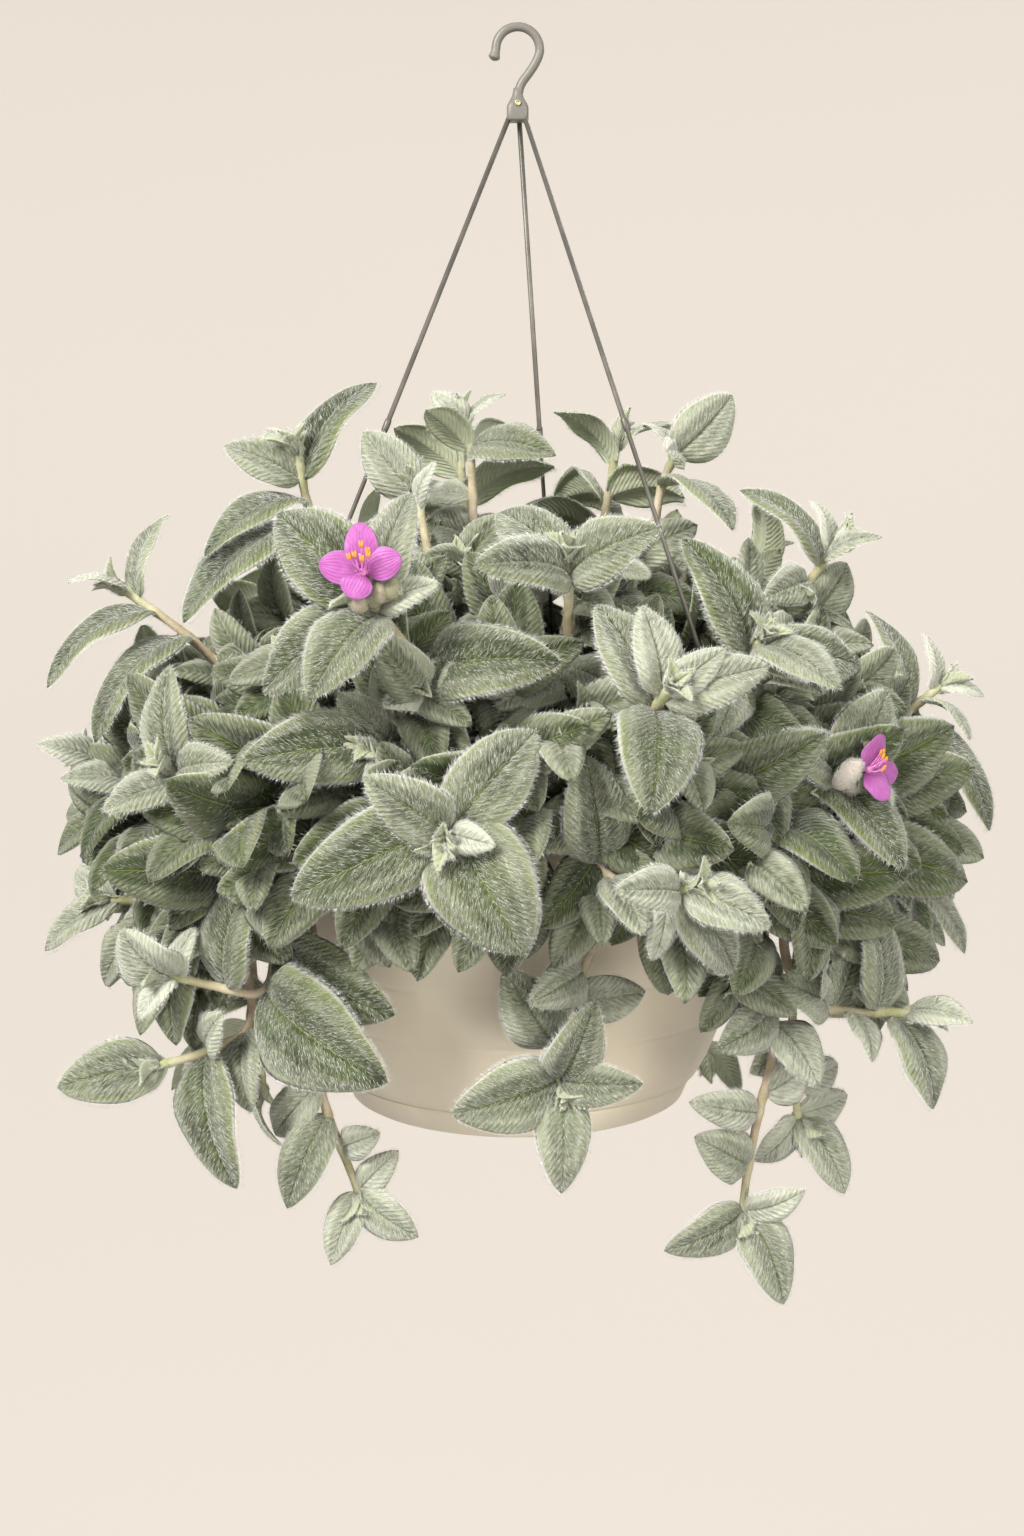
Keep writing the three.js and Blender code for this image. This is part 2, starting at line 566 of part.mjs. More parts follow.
// A stem's body keeps a ring at every point that its curve passes, and more on the long stretches.
function makeStem(shoot, line) {
  const points = [at(shoot.foot[0], shoot.foot[1], SOIL_Z - ROOT_DEPTH)];
  for (let knot = 0; knot + SPAN_STEPS < line.length; knot += SPAN_STEPS) {
    const stretch = line[knot].distanceTo(line[knot + SPAN_STEPS]);
    const skip = stretch > STEM_STEP ? SPAN_STEPS / 2 : SPAN_STEPS;
    for (let step = knot; step < knot + SPAN_STEPS; step += skip) {
      points.push(line[step]);
    }
  }
  points.push(line[line.length - 1]);
  return tube(points, (t) => shoot.thick * (1 - 0.3 * t), STEM_SIDES);
}

// A folded, arched blade from its root to its end, its upper face turned towards facing.
function blade(root, end, facing, wide, shape, spare = 0) {
  const chord = end.clone().sub(root);
  const length = chord.length();
  const across = chord.clone().cross(facing).normalize();
  const upper = across.clone().cross(chord).normalize();
  const middle = root.clone().addScaledVector(chord, 0.42).addScaledVector(upper, shape.arch * length);
  const fold = radians(shape.fold);
  const rings = shape.outline.map(([t, share]) => {
    const point = root.clone().multiplyScalar((1 - t) ** 2);
    point.addScaledVector(middle, 2 * t * (1 - t)).addScaledVector(end, t * t);
    const along = middle.clone().sub(root).multiplyScalar(1 - t);
    along.addScaledVector(end.clone().sub(middle), t).normalize();
    const normal = across.clone().cross(along);
    const half = (wide / 2) * share + spare;
    const thick = shape.thick / 2 + spare;
    const lift = half * Math.sin(fold);
    const reach = half * Math.cos(fold);
    const edge = (side) => point.clone().addScaledVector(across, side * reach).addScaledVector(normal, lift);
    const rib = (side) => point.clone().addScaledVector(normal, side * thick);
    return [edge(-1), rib(1), edge(1), rib(-1)];
  });
  const tip = end.clone().addScaledVector(chord, spare / length);
  return skin(root, rings, tip);
}

// Ways to turn a leaf that would cross another stem: swing in degrees, lift in degrees, size.
const TURNS = [
  [0, 0, 1], [12, 0, 1], [-12, 0, 1], [0, 14, 1], [0, -14, 1], [22, 10, 0.95], [-22, 10, 0.95],
  [22, -12, 0.9], [-22, -12, 0.9], [0, 26, 0.85], [0, -28, 0.85], [38, 0, 0.8], [-38, 0, 0.8],
  [0, 0, 0.7], [24, 24, 0.7], [-24, 24, 0.7], [60, 10, 0.7], [-60, 10, 0.7], [0, 45, 0.65], [0, 0, 0.5],
];

function turned(reach, [swing, lift, size]) {
  const level = Math.hypot(reach.x, reach.y);
  const length = reach.length() * size;
  const heading = Math.atan2(reach.y, reach.x) + radians(swing);
  const rise = Math.min(Math.max(Math.atan2(reach.z, level) + radians(lift), -1.5), 1.5);
  return at(Math.cos(heading) * Math.cos(rise), Math.sin(heading) * Math.cos(rise), Math.sin(rise))
    .multiplyScalar(length);
}

// The way a leaf's upper face looks: up the stem, to the sky, and out to the light on its side.
function leafFacing(place, along) {
  const light = at(place.x, place.y, 0).normalize();
  if (place.y < 20) {
    light.add(FRONT_LIGHT);
  }
  return along.clone().multiplyScalar(0.4).addScaledVector(UP, 0.6).addScaledVector(light, 0.9);
}

// Two directions square to a stem.
function crossways(along) {
  const guide = Math.abs(along.z) > 0.95 ? at(1, 0, 0) : UP;
  const first = along.clone().cross(guide).normalize();
  return [first, first.clone().cross(along)];
}

// The leaves of a stem that grows by rule: crossed pairs, larger away from the end, hanging a little.
function ruledLeaves(number, count, line) {
  const leaves = [];
  const start = 90 * draw(number, 0, 5);
  for (let leaf = 0; leaf < count; leaf += 1) {
    const pair = Math.floor(leaf / 2);
    const back = 4 + 19 * pair + 5 * (leaf % 2) + 3 * draw(number, leaf, 6);
    const { along } = backFromEnd(line, back);
    const [first, second] = crossways(along);
    const angle = radians(start + 90 * pair + 180 * (leaf % 2) + 30 * (draw(number, leaf, 7) - 0.5));
    const open = radians([52, 72, 84][pair] + 12 * (draw(number, leaf, 8) - 0.5));
    const reach = along.clone().multiplyScalar(Math.cos(open));
    reach.addScaledVector(first, Math.cos(angle) * Math.sin(open));
    reach.addScaledVector(second, Math.sin(angle) * Math.sin(open));
    reach.z -= 0.22;
    reach.normalize();
    const length = [40, 50, 54][pair] * (0.9 + 0.2 * draw(number, leaf, 9));
    reach.multiplyScalar(length);
    leaves.push([back, reach.x, reach.y, reach.z, length * (0.46 + 0.08 * draw(number, leaf, 10))]);
  }
  return leaves;
}

// The young leaves that stand round a stem's end.
const YOUNG_LEAVES = 2;
const YOUNG_LENGTH = 17;
const YOUNG_WIDTH = 9;
const YOUNG_OPEN = 24;

function youngBlade(number, leaf, line, spare = 0) {
  const { place, along } = backFromEnd(line, 1.5 + 3 * leaf);
  const [first, second] = crossways(along);
  const angle = radians(360 * draw(number, 0, 11) + (360 * leaf) / YOUNG_LEAVES);
  const side = first.clone().multiplyScalar(Math.cos(angle)).addScaledVector(second, Math.sin(angle));
  const open = radians(YOUNG_OPEN + 10 * (draw(number, leaf, 12) - 0.5));
  const reach = along.clone().multiplyScalar(Math.cos(open)).addScaledVector(side, Math.sin(open));
  const length = YOUNG_LENGTH * (0.85 + 0.3 * draw(number, leaf, 13));
  const root = place.clone().addScaledVector(side, ROOT_OFFSET);
  const end = root.clone().addScaledVector(reach, length);
  return blade(root, end, along.clone().sub(side), YOUNG_WIDTH, YOUNG, spare);
}

// ---------------------------------------------------------------- blooms
// Each bloom: the stem that carries it, the middle of its face, the way it looks, how far forward its
// petals end, how far its stamens lean up, and the petals by angle and reach.
const BLOOMS = [
  { name: "front", stem: "stem_flowering_front", centre: [-57, -172, -229], looks: [-0.05, -1, 0.12],
    cup: 2.2, lean: 6, petals: [[86, 18], [159, 15], [9, 16.5], [297, 12]] },
  { name: "right", stem: "stem_flowering_right", centre: [138, -122, -309], looks: [0.86, -0.5, 0.1],
    cup: 7.5, lean: 3, petals: [[90, 15.5], [192, 17], [262, 14]] },
];
const PETAL_WIDTH = 13.4;
const BUD_LENGTH = 11;
const BUD_RADIUS = 3.4;
const BUDS = 3;
const STAMENS = 6;
const STAMEN_REACH = 7.5;
const FILAMENT_RADIUS = 0.45;
const ANTHER_RADIUS = 1;

function faceOf(bloom) {
  const looks = at(...bloom.looks).normalize();
  const right = UP.clone().cross(looks).normalize().negate();
  const top = right.clone().cross(looks).normalize();
  return { centre: at(...bloom.centre), looks, right, top: top.z < 0 ? top.negate() : top };
}

function onFace(face, angle, reach, forward) {
  const point = face.centre.clone().addScaledVector(face.looks, forward);
  point.addScaledVector(face.right, reach * Math.cos(radians(angle)));
  return point.addScaledVector(face.top, reach * Math.sin(radians(angle)));
}

// A barrel with pointed ends between two points.
function pod(from, to, radius, sides) {
  const along = to.clone().sub(from).normalize();
  const [first, second] = crossways(along);
  const rings = [0.28, 0.72].map((t) => ringRound(from.clone().lerp(to, t), first, second, radius, sides));
  return skin(from, rings, to);
}

function makePetals(bloom) {
  const face = faceOf(bloom);
  let body = pod(onFace(face, 0, 0, -1.4), onFace(face, 0, 0, 1.4), 2.4, 6);
  for (const [angle, reach] of bloom.petals) {
    const end = onFace(face, angle, reach, bloom.cup);
    body = body.add(blade(onFace(face, angle, 0.6, 0), end, face.looks, PETAL_WIDTH, PETAL));
  }
  return body;
}

function makeStamens(bloom) {
  const face = faceOf(bloom);
  let body = pod(onFace(face, 0, 0, 1.4 + GAP), onFace(face, 0, 0, 4), 1.6, 4);
  for (let stamen = 0; stamen < STAMENS; stamen += 1) {
    const angle = 20 + (360 * stamen) / STAMENS;
    const root = onFace(face, angle, 0.4, 2.8);
    const end = onFace(face, angle, STAMEN_REACH * 0.5, STAMEN_REACH).addScaledVector(face.top, bloom.lean);
    body = body.add(tube([root, end], () => FILAMENT_RADIUS, 3));
    const tipwards = end.clone().addScaledVector(face.right, 1).addScaledVector(face.looks, 0.6);
    const other = end.clone().multiplyScalar(2).sub(tipwards);
    body = body.add(pod(other, tipwards, ANTHER_RADIUS, 3));
  }
  return body;
}

// The stalk, cup leaves and closed buds that a bloom's own stem carries.
function bloomStalk(bloom, line) {
  const face = faceOf(bloom);
  const { place, along } = backFromEnd(line, 1);
  const neck = onFace(face, 0, 0, -2.6);
  let body = tube([place, place.clone().lerp(neck, 0.5), neck], () => 1.3, STEM_SIDES);
  for (let sepal = 0; sepal < 3; sepal += 1) {
    const root = onFace(face, 120 * sepal + 30, 0, -4);
    const end = onFace(face, 120 * sepal + 30, 7, -4);
    body = body.add(blade(root, end, face.looks, 5, SEPAL));
  }
  const [first, second] = crossways(along);
  for (let bud = 0; bud < BUDS; bud += 1) {
    const angle = radians(110 * bud + 200);
    const lean = first.clone().multiplyScalar(Math.cos(angle)).addScaledVector(second, Math.sin(angle));
    const to = place.clone().addScaledVector(along, BUD_LENGTH * 0.7).addScaledVector(lean, BUD_LENGTH * 0.7);
    body = body.add(pod(place, to, BUD_RADIUS, 4));
  }
  return body;
}

// ---------------------------------------------------------------- putting it together
const CLAY_CREAM = 0xd9ccb8;
const PEAT = 0x3a2c22;
const FELTED_GREEN = 0x93a08a;
const MAGENTA = 0xc94fc0;
const POLLEN = 0xe6a53c;

function add(name, body, colour, roughness, metalness = 0) {
  claim(name, body);
  finish(name, body, colour, roughness, metalness);
}

add("hanger_hook", makeHook(), SMOKE, 0.45);
add("hook_pin", makePin(), 0xb9a878, 0.4, 0.7);
for (const [side, angle] of Object.entries(WIRE_ANGLES)) {
  add(`wire_${side}`, makeWire(angle), SMOKE, 0.4, 0.3);
}
add("basket", makeBasket(), CLAY_CREAM, 0.55);
add("drip_saucer", makeSaucer(), CLAY_CREAM, 0.55);
add("soil", makeSoil(), PEAT, 0.95);

for (const bloom of BLOOMS) {
  add(`bloom_${bloom.name}_petals`, makePetals(bloom), MAGENTA, 0.6);
  add(`bloom_${bloom.name}_stamens`, makeStamens(bloom), POLLEN, 0.7);
}

const plants = SHOOTS.map((shoot, number) => {
  const line = stemLine(shoot);
  let body = makeStem(shoot, line);
  const bloom = BLOOMS.find(({ stem }) => stem === shoot.name);
  if (bloom) {
    body = body.add(bloomStalk(bloom, line));
  }
  claim(shoot.name, body);
  return { shoot, number, line, body, bloom, blades: [] };
});

// Adds a leaf in the first way that keeps clear of every other stem and of its own stem's leaves.
function growLeaf(plant, leaf) {
  const [back, right, rear, up, wide] = leaf;
  const { place, along } = backFromEnd(plant.line, back);
  const facing = leafFacing(place, along);
  for (const turn of TURNS) {
    const reach = turned(at(right, rear, up), turn);
    const root = place.clone().addScaledVector(reach.clone().normalize(), ROOT_OFFSET);
    const end = place.clone().add(reach);
    const width = Math.max(wide, NARROWEST * Math.hypot(right, rear, up)) * turn[2];
    const roomy = blade(root, end, facing, width, LEAF, LEAF_CLEAR);
    const outer = blade(place.clone().addScaledVector(reach, 0.2), end, facing, width, LEAF);
    const crossed = plant.blades.some((other) => !outer.intersect(other).isEmpty());
    if (!crossed && !meets(roomy, plant.shoot.name)) {
      joinBlade(plant, blade(root, end, facing, width, LEAF));
      return;
    }
  }
}

function joinBlade(plant, grown) {
  plant.blades.push(grown);
  plant.body = plant.body.add(grown);
  claim(plant.shoot.name, grown);
}

for (const plant of plants.filter(({ bloom }) => !bloom)) {
  for (let leaf = 0; leaf < YOUNG_LEAVES; leaf += 1) {
    if (!meets(youngBlade(plant.number, leaf, plant.line, LEAF_CLEAR), plant.shoot.name)) {
      joinBlade(plant, youngBlade(plant.number, leaf, plant.line));
    }
  }
}

for (const plant of plants) {
  const { leaves } = plant.shoot;
  const rows = Array.isArray(leaves) ? leaves : ruledLeaves(plant.number, leaves, plant.line);
  rows.forEach((leaf) => growLeaf(plant, leaf));
}

for (const plant of plants) {
  finish(plant.shoot.name, plant.body, FELTED_GREEN, 0.9);
}

export default group;
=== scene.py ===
import math
import bpy
import numpy as np
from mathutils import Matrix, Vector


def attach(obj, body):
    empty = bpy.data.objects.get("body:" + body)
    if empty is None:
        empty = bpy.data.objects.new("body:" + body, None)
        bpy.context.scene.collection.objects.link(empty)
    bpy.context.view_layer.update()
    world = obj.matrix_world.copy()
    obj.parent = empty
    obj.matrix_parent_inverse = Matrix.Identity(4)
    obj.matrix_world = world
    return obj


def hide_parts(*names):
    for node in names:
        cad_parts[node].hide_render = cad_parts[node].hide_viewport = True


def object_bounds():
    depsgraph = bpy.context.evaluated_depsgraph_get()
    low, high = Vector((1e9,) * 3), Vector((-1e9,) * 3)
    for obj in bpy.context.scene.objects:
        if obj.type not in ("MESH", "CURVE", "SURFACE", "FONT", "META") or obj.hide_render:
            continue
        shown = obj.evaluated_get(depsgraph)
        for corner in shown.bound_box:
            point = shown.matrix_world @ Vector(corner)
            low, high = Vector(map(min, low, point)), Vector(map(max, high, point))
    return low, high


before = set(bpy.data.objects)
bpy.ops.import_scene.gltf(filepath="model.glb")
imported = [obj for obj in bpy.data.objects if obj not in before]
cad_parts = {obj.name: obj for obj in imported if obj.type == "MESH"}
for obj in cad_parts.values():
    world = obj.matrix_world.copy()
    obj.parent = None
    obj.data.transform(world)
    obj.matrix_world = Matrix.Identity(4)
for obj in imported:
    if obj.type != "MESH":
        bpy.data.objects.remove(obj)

cad_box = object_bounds()
MM = 0.001  # lengths in this script are millimetres, and the frame is in metres

# ------------------------------------------------------------------ camera, light and floor
# The camera looks a little down on the basket from arm's length, as the photograph does. A cream
# cove, a round floor that curves up into a wall, stands all round it under broad soft lights.
CAMERA_PLACE = (-2.5, -907, -203)
CAMERA_TILT = 7.65  # degrees below level
FILM_HEIGHT = 36
LENS = 46.76
COVE_CREAM = (0.86, 0.79, 0.705)
COVE_GLOW = 0.36
FLOOR_Z = -6600
COVE_RADIUS = 6000
COVE_BEND = 5600
COVE_TOP = 3600
COVE_WALL = 60
COVE_SIDES = 96
AIR_COLOUR = (1.0, 0.985, 0.965)
AIR_BELOW = 0.3  # brightness of the air under the plant, and over it
AIR_ABOVE = 0.55
DAYLIGHT = (1.0, 0.98, 0.95)
FLOOR_LIGHT = (1.0, 0.96, 0.90)
# Each light: its name, its place, the height it looks at, its width, its power and its colour.
LIGHTS = [
    ("key_light", (-1500, -1700, 1300), -300, 1000, 122, DAYLIGHT),
    ("fill_light", (1300, -1700, 500), -300, 1500, 30, DAYLIGHT),
    ("low_light", (300, -1900, -1000), -400, 1300, 14, FLOOR_LIGHT),
    ("rim_light", (500, 1900, 1200), -250, 1500, 30, DAYLIGHT),
]


class Nodes:
    """The shader nodes of a finish or of the air, with short ways to add and join them."""

    def __init__(self, owner, main):
        owner.use_nodes = True
        self.owner = owner
        self.tree = owner.node_tree
        self.main = self.tree.nodes[main]

    def feed(self, socket, value):
        """Gives an input a value or a colour, or joins it to another node."""
        if isinstance(value, bpy.types.NodeSocket):
            self.tree.links.new(value, socket)
        else:
            socket.default_value = (*value, 1) if socket.type == "RGBA" else value

    def set(self, inputs):
        """Feeds inputs of the main shader."""
        for name, value in inputs.items():
            self.feed(self.main.inputs[name], value)

    def add(self, kind, inputs=None, **settings):
        """One more node with its settings and inputs."""
        made = self.tree.nodes.new("ShaderNode" + kind)
        for name, value in settings.items():
            setattr(made, name, value)
        for name, value in (inputs or {}).items():
            self.feed(made.inputs[name], value)
        return made

    def parts(self, vector):
        """The three numbers of a vector."""
        return self.add("SeparateXYZ", {0: vector}).outputs

    def note(self, name):
        """The three numbers that the points of a mesh carry under a name."""
        return self.add("Attribute", attribute_name=name).outputs["Vector"]

    def maths(self, operation, *values):
        """The result of one sum."""
        return self.add("Math", dict(enumerate(values)), operation=operation).outputs[0]

    def noise(self, scale, detail=2.0, vector=None):
        """Soft random grey near one half, all over the object or over a vector."""
        if vector is None:
            vector = self.add("TexCoord").outputs["Object"]
        return self.add("TexNoise", {"Vector": vector, "Scale": scale, "Detail": detail}).outputs["Fac"]

    def spread(self, value, low, high, start=0.0, end=1.0):
        """A value stretched, so that low becomes start and high becomes end, and held there."""
        ranges = {"Value": value, "From Min": low, "From Max": high, "To Min": start, "To Max": end}
        return self.add("MapRange", ranges).outputs["Result"]

    def cloud(self, scale, detail, low=0.35, high=0.65, start=0.0, end=1.0):
        """Noise stretched into soft patches."""
        return self.spread(self.noise(scale, detail), low, high, start, end)

    def blend(self, share, first, second):
        """A colour between two colours."""
        return self.add("Mix", {0: share, 6: first, 7: second}, data_type="RGBA").outputs[2]

    def relief(self, height, distance, strength=1.0):
        """Bumps on the main shader."""
        settings = {"Height": height, "Distance": distance * MM, "Strength": strength}
        self.set({"Normal": self.add("Bump", settings).outputs["Normal"]})


def new_finish(name, roughness):
    """The nodes of a new finish."""
    look = Nodes(bpy.data.materials.new(name), "Principled BSDF")
    look.set({"Roughness": roughness})
    return look


def unit(vectors):
    """Vectors at a length of one."""
    vectors = np.asarray(vectors, float)
    return vectors / np.maximum(np.linalg.norm(vectors, axis=-1, keepdims=True), 1e-12)


def round_angles(count):
    """Angles all round, in radians."""
    return 2 * np.pi * np.arange(count) / count


def ring_of(x, y, z):
    """A ring of points at one height, or at a height for each."""
    return np.stack([x, y, np.broadcast_to(np.asarray(z, float), x.shape)], -1)


def loft(rings):
    """A closed skin over rings of points, with a flat cap on the first and the last ring."""
    rings = np.asarray(rings, float)
    count, sides = rings.shape[:2]
    points = np.concatenate([rings.reshape(-1, 3), [rings[0].mean(0), rings[-1].mean(0)]])
    ring, side = np.meshgrid(np.arange(count - 1), np.arange(sides), indexing="ij")
    here = ring * sides + side
    beside = ring * sides + (side + 1) % sides
    quads = np.stack([here, beside, beside + sides, here + sides], -1).reshape(-1, 4)
    turn = np.arange(sides)
    after = (turn + 1) % sides
    top = (count - 1) * sides
    low_cap = np.stack([np.full(sides, count * sides), after, turn], -1)
    high_cap = np.stack([np.full(sides, count * sides + 1), top + turn, top + after], -1)
    corners = points[np.concatenate([quads[:, :3], quads[:, [0, 2, 3]], low_cap, high_cap])]
    room = np.einsum("ij,ij->", corners[:, 0], np.cross(corners[:, 1], corners[:, 2]))
    faces = [quads, np.concatenate([low_cap, high_cap])]
    if room < 0:
        faces = [face[:, ::-1] for face in faces]
    return points, faces


def lathe(profile, sides):
    """A round body turned about the upright axis from pairs of radius and height."""
    angle = round_angles(sides)
    return loft([ring_of(r * np.cos(angle), r * np.sin(angle), z) for r, z in profile])


def piece_of(name, skin, finish, smooth=True, notes=None):
    """A mesh object from a skin in millimetres. Notes are numbers that its points carry for the finish."""
    points, faces = skin
    corners = np.concatenate([face.ravel() for face in faces])
    sizes = np.concatenate([np.full(len(face), face.shape[1]) for face in faces])
    mesh = bpy.data.meshes.new(name)
    mesh.vertices.add(len(points))
    mesh.vertices.foreach_set("co", (np.asarray(points) * MM).ravel())
    mesh.loops.add(len(corners))
    mesh.loops.foreach_set("vertex_index", corners)
    mesh.polygons.add(len(sizes))
    mesh.polygons.foreach_set("loop_start", np.cumsum(sizes) - sizes)
    mesh.polygons.foreach_set("use_smooth", np.full(len(sizes), smooth))
    mesh.update(calc_edges=True)
    for note, values in (notes or {}).items():
        mesh.attributes.new(note, "FLOAT_VECTOR", "POINT").data.foreach_set("vector", values.ravel())
    mesh.materials.append(finish)
    piece = bpy.data.objects.new(name, mesh)
    bpy.context.scene.collection.objects.link(piece)
    return piece


def cove_profile():
    """The floor, the bend and the wall of the cove, as pairs of radius and height."""
    middle = COVE_RADIUS - COVE_BEND
    profile = [(1, FLOOR_Z), (middle, FLOOR_Z)]
    for angle in np.radians(np.linspace(-90, 0, 13)[1:]):
        up = FLOOR_Z + COVE_BEND + COVE_BEND * math.sin(angle)
        profile.append((middle + COVE_BEND * math.cos(angle), up))
    outside = COVE_RADIUS + COVE_WALL
    return profile + [(COVE_RADIUS, COVE_TOP), (outside, COVE_TOP), (outside, FLOOR_Z - COVE_WALL)]


def cove_finish():
    """Matte cream studio paper, lit a little from behind."""
    look = new_finish("cove_paper", 0.95)
    colour = look.blend(look.noise(0.6), COVE_CREAM, [value * 0.985 for value in COVE_CREAM])
    look.set({"Base Color": colour, "Emission Color": colour, "Emission Strength": COVE_GLOW})
    return look.owner


def softbox(name, place, target_z, size, power, colour):
    """A square studio light that looks at the upright axis of the plant."""
    light = bpy.data.lights.new(name, "AREA")
    light.shape = "SQUARE"
    light.size = size * MM
    light.energy = power
    light.color = colour
    lamp = bpy.data.objects.new(name, light)
    lamp.visible_camera = False
    lamp.location = [value * MM for value in place]
    x, y, z = place
    lamp.rotation_euler = (math.atan2(math.hypot(x, y), z - target_z), 0, math.atan2(x, -y))
    bpy.context.scene.collection.objects.link(lamp)


camera = bpy.data.objects.new("camera", bpy.data.cameras.new("camera"))
camera.data.sensor_fit = "VERTICAL"
camera.data.sensor_height = FILM_HEIGHT
camera.data.lens = LENS
camera.location = [value * MM for value in CAMERA_PLACE]
camera.rotation_euler = (math.radians(90 - CAMERA_TILT), 0, 0)
bpy.context.scene.collection.objects.link(camera)
bpy.context.scene.camera = camera
bpy.context.scene.view_settings.view_transform = "Standard"

cove = piece_of("cove", lathe(cove_profile(), COVE_SIDES), cove_finish())
cove.visible_diffuse = False
cove.visible_shadow = False
for light_row in LIGHTS:
    softbox(*light_row)

world = bpy.data.worlds.new("studio_air")
air = Nodes(world, "Background")
height = air.parts(air.add("TexCoord").outputs["Generated"])["Z"]
air.set({"Color": AIR_COLOUR, "Strength": air.spread(height, -0.7, 0.9, AIR_BELOW, AIR_ABOVE)})
bpy.context.scene.world = world


# ------------------------------------------------------------------ hook and hub
# One moulding in smoky grey plastic: an open hook with a ball at its end, an S-shaped neck, and a
# small square hub with soft shoulders that holds the three wires. The basket hangs from it.
HOOK_ROD = 2
HOOK_INSIDE = 7.6
HOOK_SIDES = 20
HOOK_TIP = [(-10.8, 0, -12.2), (-10.1, 0, -10.1)]
HOOK_TURN = np.arange(180, -11, -19)
HOOK_NECK = [(7.7, 0, -13.4), (4.9, 0, -17.6), (1.8, 0, -21.8), (0.4, 0, -26), (0, 0, -33)]
HUB_SIDES = 32
HUB_TOP_Z = -24
HUB_BOTTOM_Z = -38.2
# The hub's section at each height: half its width, half its depth, and how square it is.
HUB_SECTIONS = [(0, 1.9, 1.9, 2), (-2, 2.2, 2.2, 2), (-3.6, 2.7, 2.6, 2.2), (-5.2, 3.5, 3.3, 2.6),
                (-6.6, 4.3, 3.8, 3.4), (-7.6, 4.7, 4.1, 4.2), (-8.6, 4.8, 4.2, 5), (-11, 4.8, 4.2, 5.5),
                (-13.2, 4.8, 4.2, 5.5), (-13.9, 4.6, 4.0, 5), (-14.2, 4.1, 3.5, 4.5)]


def joined(skins):
    """One set of points and faces from several."""
    points = []
    faces = []
    count = 0
    for some_points, some_faces in skins:
        points.append(some_points)
        faces += [face + count for face in some_faces]
        count += len(some_points)
    return np.concatenate(points), faces


def squared_ring(sides, wide, deep, square, z):
    """A level ring between a round one, at 2, and a square one."""
    angle = round_angles(sides)
    ways = [np.sign(way) * np.abs(way) ** (2 / square) for way in (np.cos(angle), np.sin(angle))]
    return ring_of(wide * ways[0], deep * ways[1], z)


def curve_through(knots, steps, before=None):
    """Points close together on a smooth curve through some knots."""
    knots = np.asarray(knots, float)
    first = 2 * knots[0] - knots[1] if before is None else before
    held = np.concatenate([[first], knots, [2 * knots[-1] - knots[-2]]])
    line = []
    for a, b, c, d in zip(held, held[1:], held[2:], held[3:]):
        for t in np.arange(steps) / steps:
            bend = t * (2 * a - 5 * b + 4 * c - d + t * (3 * b - a - 3 * c + d))
            line.append(b + 0.5 * t * (c - a + bend))
    return np.array([*line, knots[-1]])


def run_along(line):
    """How far along a line each of its points is."""
    return np.concatenate([[0], np.cumsum(np.linalg.norm(np.diff(line, axis=0), axis=1))])


def sweep(line, radii, sides, guide=(1, 0, 0)):
    """A round body along a line of points, with a radius at each."""
    line = np.asarray(line, float)
    ways = unit(np.gradient(line, axis=0))
    angle = round_angles(sides)
    across = np.asarray(guide, float)
    rings = []
    for place, way, radius in zip(line, ways, radii):
        across = unit(across - way * np.dot(across, way))
        ring = np.outer(np.cos(angle), across) + np.outer(np.sin(angle), np.cross(way, across))
        rings.append(place + radius * ring)
    return loft(rings)


def moulded(name, colour, pale, roughness, grain):
    """Moulded plastic: cloudy colour, a fine eggshell grain, and a lighter colour on what faces up."""
    look = new_finish(name, roughness)
    facing = look.parts(look.add("NewGeometry").outputs["Normal"])
    # What faces up is lighter.
    up_facing_share = look.spread(facing["Z"], 0.35, 1.0, 0.0, 0.35)
    up_facing_colour = [min(1, value * 1.25 + 0.02) for value in pale]
    wear = look.cloud(160, 4, 0.3, 0.7, roughness - 0.06, roughness + 0.1)
    tone = look.blend(look.cloud(22, 3), colour, pale)
    look.set({"Base Color": look.blend(up_facing_share, tone, up_facing_colour), "Roughness": wear})
    look.relief(look.noise(900), grain)
    return look.owner


def place_in(piece, slot, *nodes):
    """Rides a piece on the one body and lets it stand for CAD nodes. Its slot is not used."""
    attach(piece, "root")
    if nodes:
        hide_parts(*nodes)


def hook_skin():
    """The rod of the hook, from the ball at its end down into the hub."""
    bend = HOOK_INSIDE + HOOK_ROD
    angles = np.radians(HOOK_TURN)
    turn = [(bend * math.cos(angle), 0, bend * math.sin(angle) - HOOK_INSIDE) for angle in angles]
    line = curve_through([*HOOK_TIP, *turn, *HOOK_NECK], 5)
    run = run_along(line)
    ball = 0.3 * np.exp(-(((run - 1.4) / 1.5) ** 2))
    radii = HOOK_ROD * (1 + ball) * np.sqrt(np.clip((run + 0.12) / 1.2, 0, 1))
    return sweep(line, radii, HOOK_SIDES, (0, 1, 0))


def hub_skin():
    """The hub, a stack of rounded squares."""
    return loft([squared_ring(HUB_SIDES, wide, deep, square, HUB_TOP_Z + drop)
                 for drop, wide, deep, square in HUB_SECTIONS])


smoke_plastic = moulded("smoke_plastic", (0.135, 0.125, 0.106), (0.175, 0.163, 0.14), 0.42, 0.05)
hook = piece_of("hook_and_hub", joined([hook_skin(), hub_skin()]), smoke_plastic)
place_in(hook, "smoke_plastic", "hanger_hook")

# ------------------------------------------------------------------ hub pin
# A small eyelet of dull brass, pressed through the hub from front to back to hold the wire ends.
# Its rolled rim stands just proud of the plastic and is sunk in the middle.
PIN_Z = -30.9
PIN_SIDES = 28
PIN_PROFILE = [(0.3, 4.35), (0.62, 4.45), (0.78, 4.85), (1.05, 4.98), (1.24, 4.86), (1.28, 4.62),
               (1.0, 4.5), (0.8, 4.3)]


